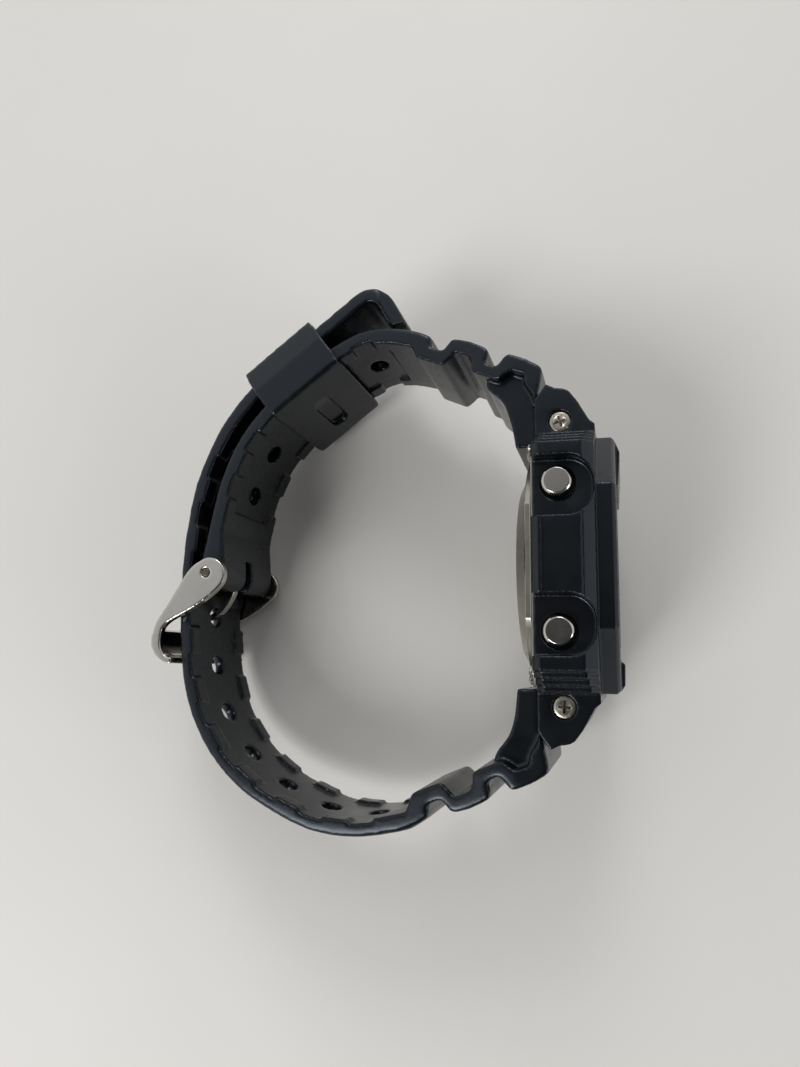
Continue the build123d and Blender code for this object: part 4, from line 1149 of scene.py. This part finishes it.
@dataclass
class Front:
    """The glass, its seal, and the display with its printed surround."""

    case: CaseFrame
    segment_length: float = 3.1
    segment_width: float = 0.55
    segment_height: float = 0.02
    length_share: float = 0.96
    point_share: float = 0.05
    digit_step: float = 4.45
    pair_gap: float = 0.9
    border_length: float = 22.9
    border_width: float = 17.7
    border_corner: float = 2.2
    corner_steps: int = 8
    line_width: float = 0.32
    # Each row's digits, where it starts towards nine, its middle towards twelve, its size
    rows: tuple[tuple[str, float, float, float], ...] = (
        ("1058", 9.3, 0.4, 3.1), ("36", -3.4, -5.2, 1.5), ("628", 1.2, 5.6, 1.15))

    def build(self) -> None:
        """Dresses the front's nodes and lays the display's marks."""
        Part("crystal", MINERAL_GLASS).paint()
        Part("crystal_gasket", SEAL_RUBBER).paint()
        Part("face_plate", BLACK_PRINT).paint()
        Part("lcd_panel", LCD_GLASS).paint()
        self.add_segments()
        self.add_border()

    def front_of(self, node: str) -> float:
        """How far in front of the case's middle a node's front face lies."""
        mesh = Part(node, BLACK_PRINT).source.data
        return max(self.case.local(corner.co).x for corner in mesh.vertices)

    def add_border(self) -> None:
        """Prints a pale line round the display window."""
        tool = Recipe("border_line", {
            "Length": self.border_length * MM, "Width": self.border_width * MM,
            "Corner": self.border_corner * MM, "Line Width": self.line_width * MM,
            "Height": self.segment_height * MM})
        outline = tool.add("GeometryNodeCurvePrimitiveQuadrilateral", {
            "Width": tool.size("Width"), "Height": tool.size("Length")})
        path = tool.add("GeometryNodeFilletCurve", {
            "Curve": outline.outputs[0], "Radius": tool.size("Corner"),
            "Count": self.corner_steps}, mode="POLY")
        section = tool.add("GeometryNodeCurvePrimitiveQuadrilateral", {
            "Width": tool.size("Line Width"), "Height": tool.size("Height")})
        line = tool.add("GeometryNodeCurveToMesh", {
            "Curve": path.outputs[0], "Profile Curve": section.outputs[0]})
        tool.finish(line.outputs[0], tool.squared("X", self.case.y), PALE_PRINT.material())
        spot = self.case.at(self.front_of("face_plate"), 0, 0)
        piece = tool.make("border_line", point_mesh("border_line", [spot], [self.case.x]))
        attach(piece, Part("face_plate", BLACK_PRINT).body)

    def add_segments(self) -> None:
        """Lays the lit segments of the time on the liquid crystal glass."""
        places, aims, lengths = [], [], []
        for place, upright, length in self.lit_segments():
            places.append(place)
            aims.append(self.case.turned(0, 1, 0) if upright else self.case.turned(0, 0, 1))
            lengths.append(length * MM)
        piece = self.segment_recipe().make(
            "time_segments", point_mesh("time_segments", places, aims, lengths))
        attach(piece, Part("lcd_panel", LCD_GLASS).body)
        LOG.info("laid %d display segments", len(places))

    def lit_segments(self) -> list[tuple[Vector, bool, float]]:
        """Each lit segment's middle, whether it stands upright, and its length."""
        found = []
        front = self.front_of("lcd_panel")
        for digits, left, base, length in self.rows:
            step = self.digit_step * length / self.segment_length
            for number, digit in enumerate(digits):
                gap = self.pair_gap if len(digits) == 4 and number > 1 else 0.0
                middle_z = left - step * (number + 0.5) - gap
                for letter in DIGIT_SEGMENTS[digit]:
                    across, up, upright = SEGMENT_PLACES[letter]
                    found.append((self.case.at(
                        front, base - length + up * length,
                        middle_z - across * length / 2), upright, length))
        return found

    def segment_recipe(self) -> Recipe:
        """Makes the tree that sets a pointed bar on every point.

        Returns:
            The recipe.
        """
        tool = Recipe("display_segments", {
            "Length": self.segment_length * MM, "Width": self.segment_width * MM,
            "Height": self.segment_height * MM})
        length = tool.scaled("Length", self.length_share)
        body = tool.worked("SUBTRACT", length, tool.size("Width"))
        both = tool.add("GeometryNodeJoinGeometry")
        for width, reach in ((tool.scaled("Width", self.point_share), length),
                             (tool.size("Width"), body)):
            cube = tool.add("GeometryNodeMeshCube", {
                "Size": tool.vector(X=tool.size("Height"), Y=width, Z=reach)})
            tool.tree.links.new(cube.outputs["Mesh"], both.inputs[0])
        bar = tool.add("GeometryNodeConvexHull", {"Geometry": both.outputs[0]})
        share = tool.worked("DIVIDE", tool.attribute("reach", "FLOAT"), tool.size("Length"))
        tool.finish(bar.outputs[0], tool.squared("X", self.case.x), SEGMENT_INK.material(),
                    Scale=tool.vector(X=1.0, Y=share, Z=share))
        return tool


@dataclass
class Module:
    """What lies inside the case."""

    case: CaseFrame
    buzzer_spring_y: float = -6.6
    buzzer_front_x: float = -7.05
    clip_back_x: float = -5.2
    finishes: dict[str, Finish] = field(default_factory=lambda: {
        "light_guide": LIGHT_PLATE, "light_led": LAMP, "lcd_connectors": CONTACT_RUBBER,
        "module_frame": MODULE_POLYMER, "circuit_board": BOARD, "processor_chip": CHIP,
        "quartz_can": SCREW_STEEL, "module_back": MODULE_POLYMER, "battery": SCREW_STEEL,
        "battery_clip": SPRING_STEEL, "switch_contacts": BRASS, "buzzer_disc": BRASS,
        "shock_pad": PAD_RUBBER})

    def build(self) -> None:
        """Dresses each node of the module and winds the buzzer's spring."""
        for node, finish in self.finishes.items():
            Part(node, finish).paint()
        start, stop = (self.case.at(x, self.buzzer_spring_y, 0)
                       for x in (self.buzzer_front_x, self.clip_back_x))
        piece = CoilSpring(wire=0.24, radius=1.06, turns=3.5).make("buzzer_coil", start, stop)
        Part("buzzer_spring", SPRING_STEEL).stand_in(piece)


def main() -> None:
    """Builds the studio and every part of the watch in turn."""
    logging.basicConfig(level=logging.INFO, format="%(name)s: %(message)s")
    bpy.context.scene.view_settings.view_transform = "Standard"
    case = CaseFrame.from_joints()
    Studio(case).build()
    for group in (CaseShell, BackCover, StrapHalves, Keeper, Buckle, Pushers, Front, Module):
        group(case).build()


if __name__ == "__main__":
    main()
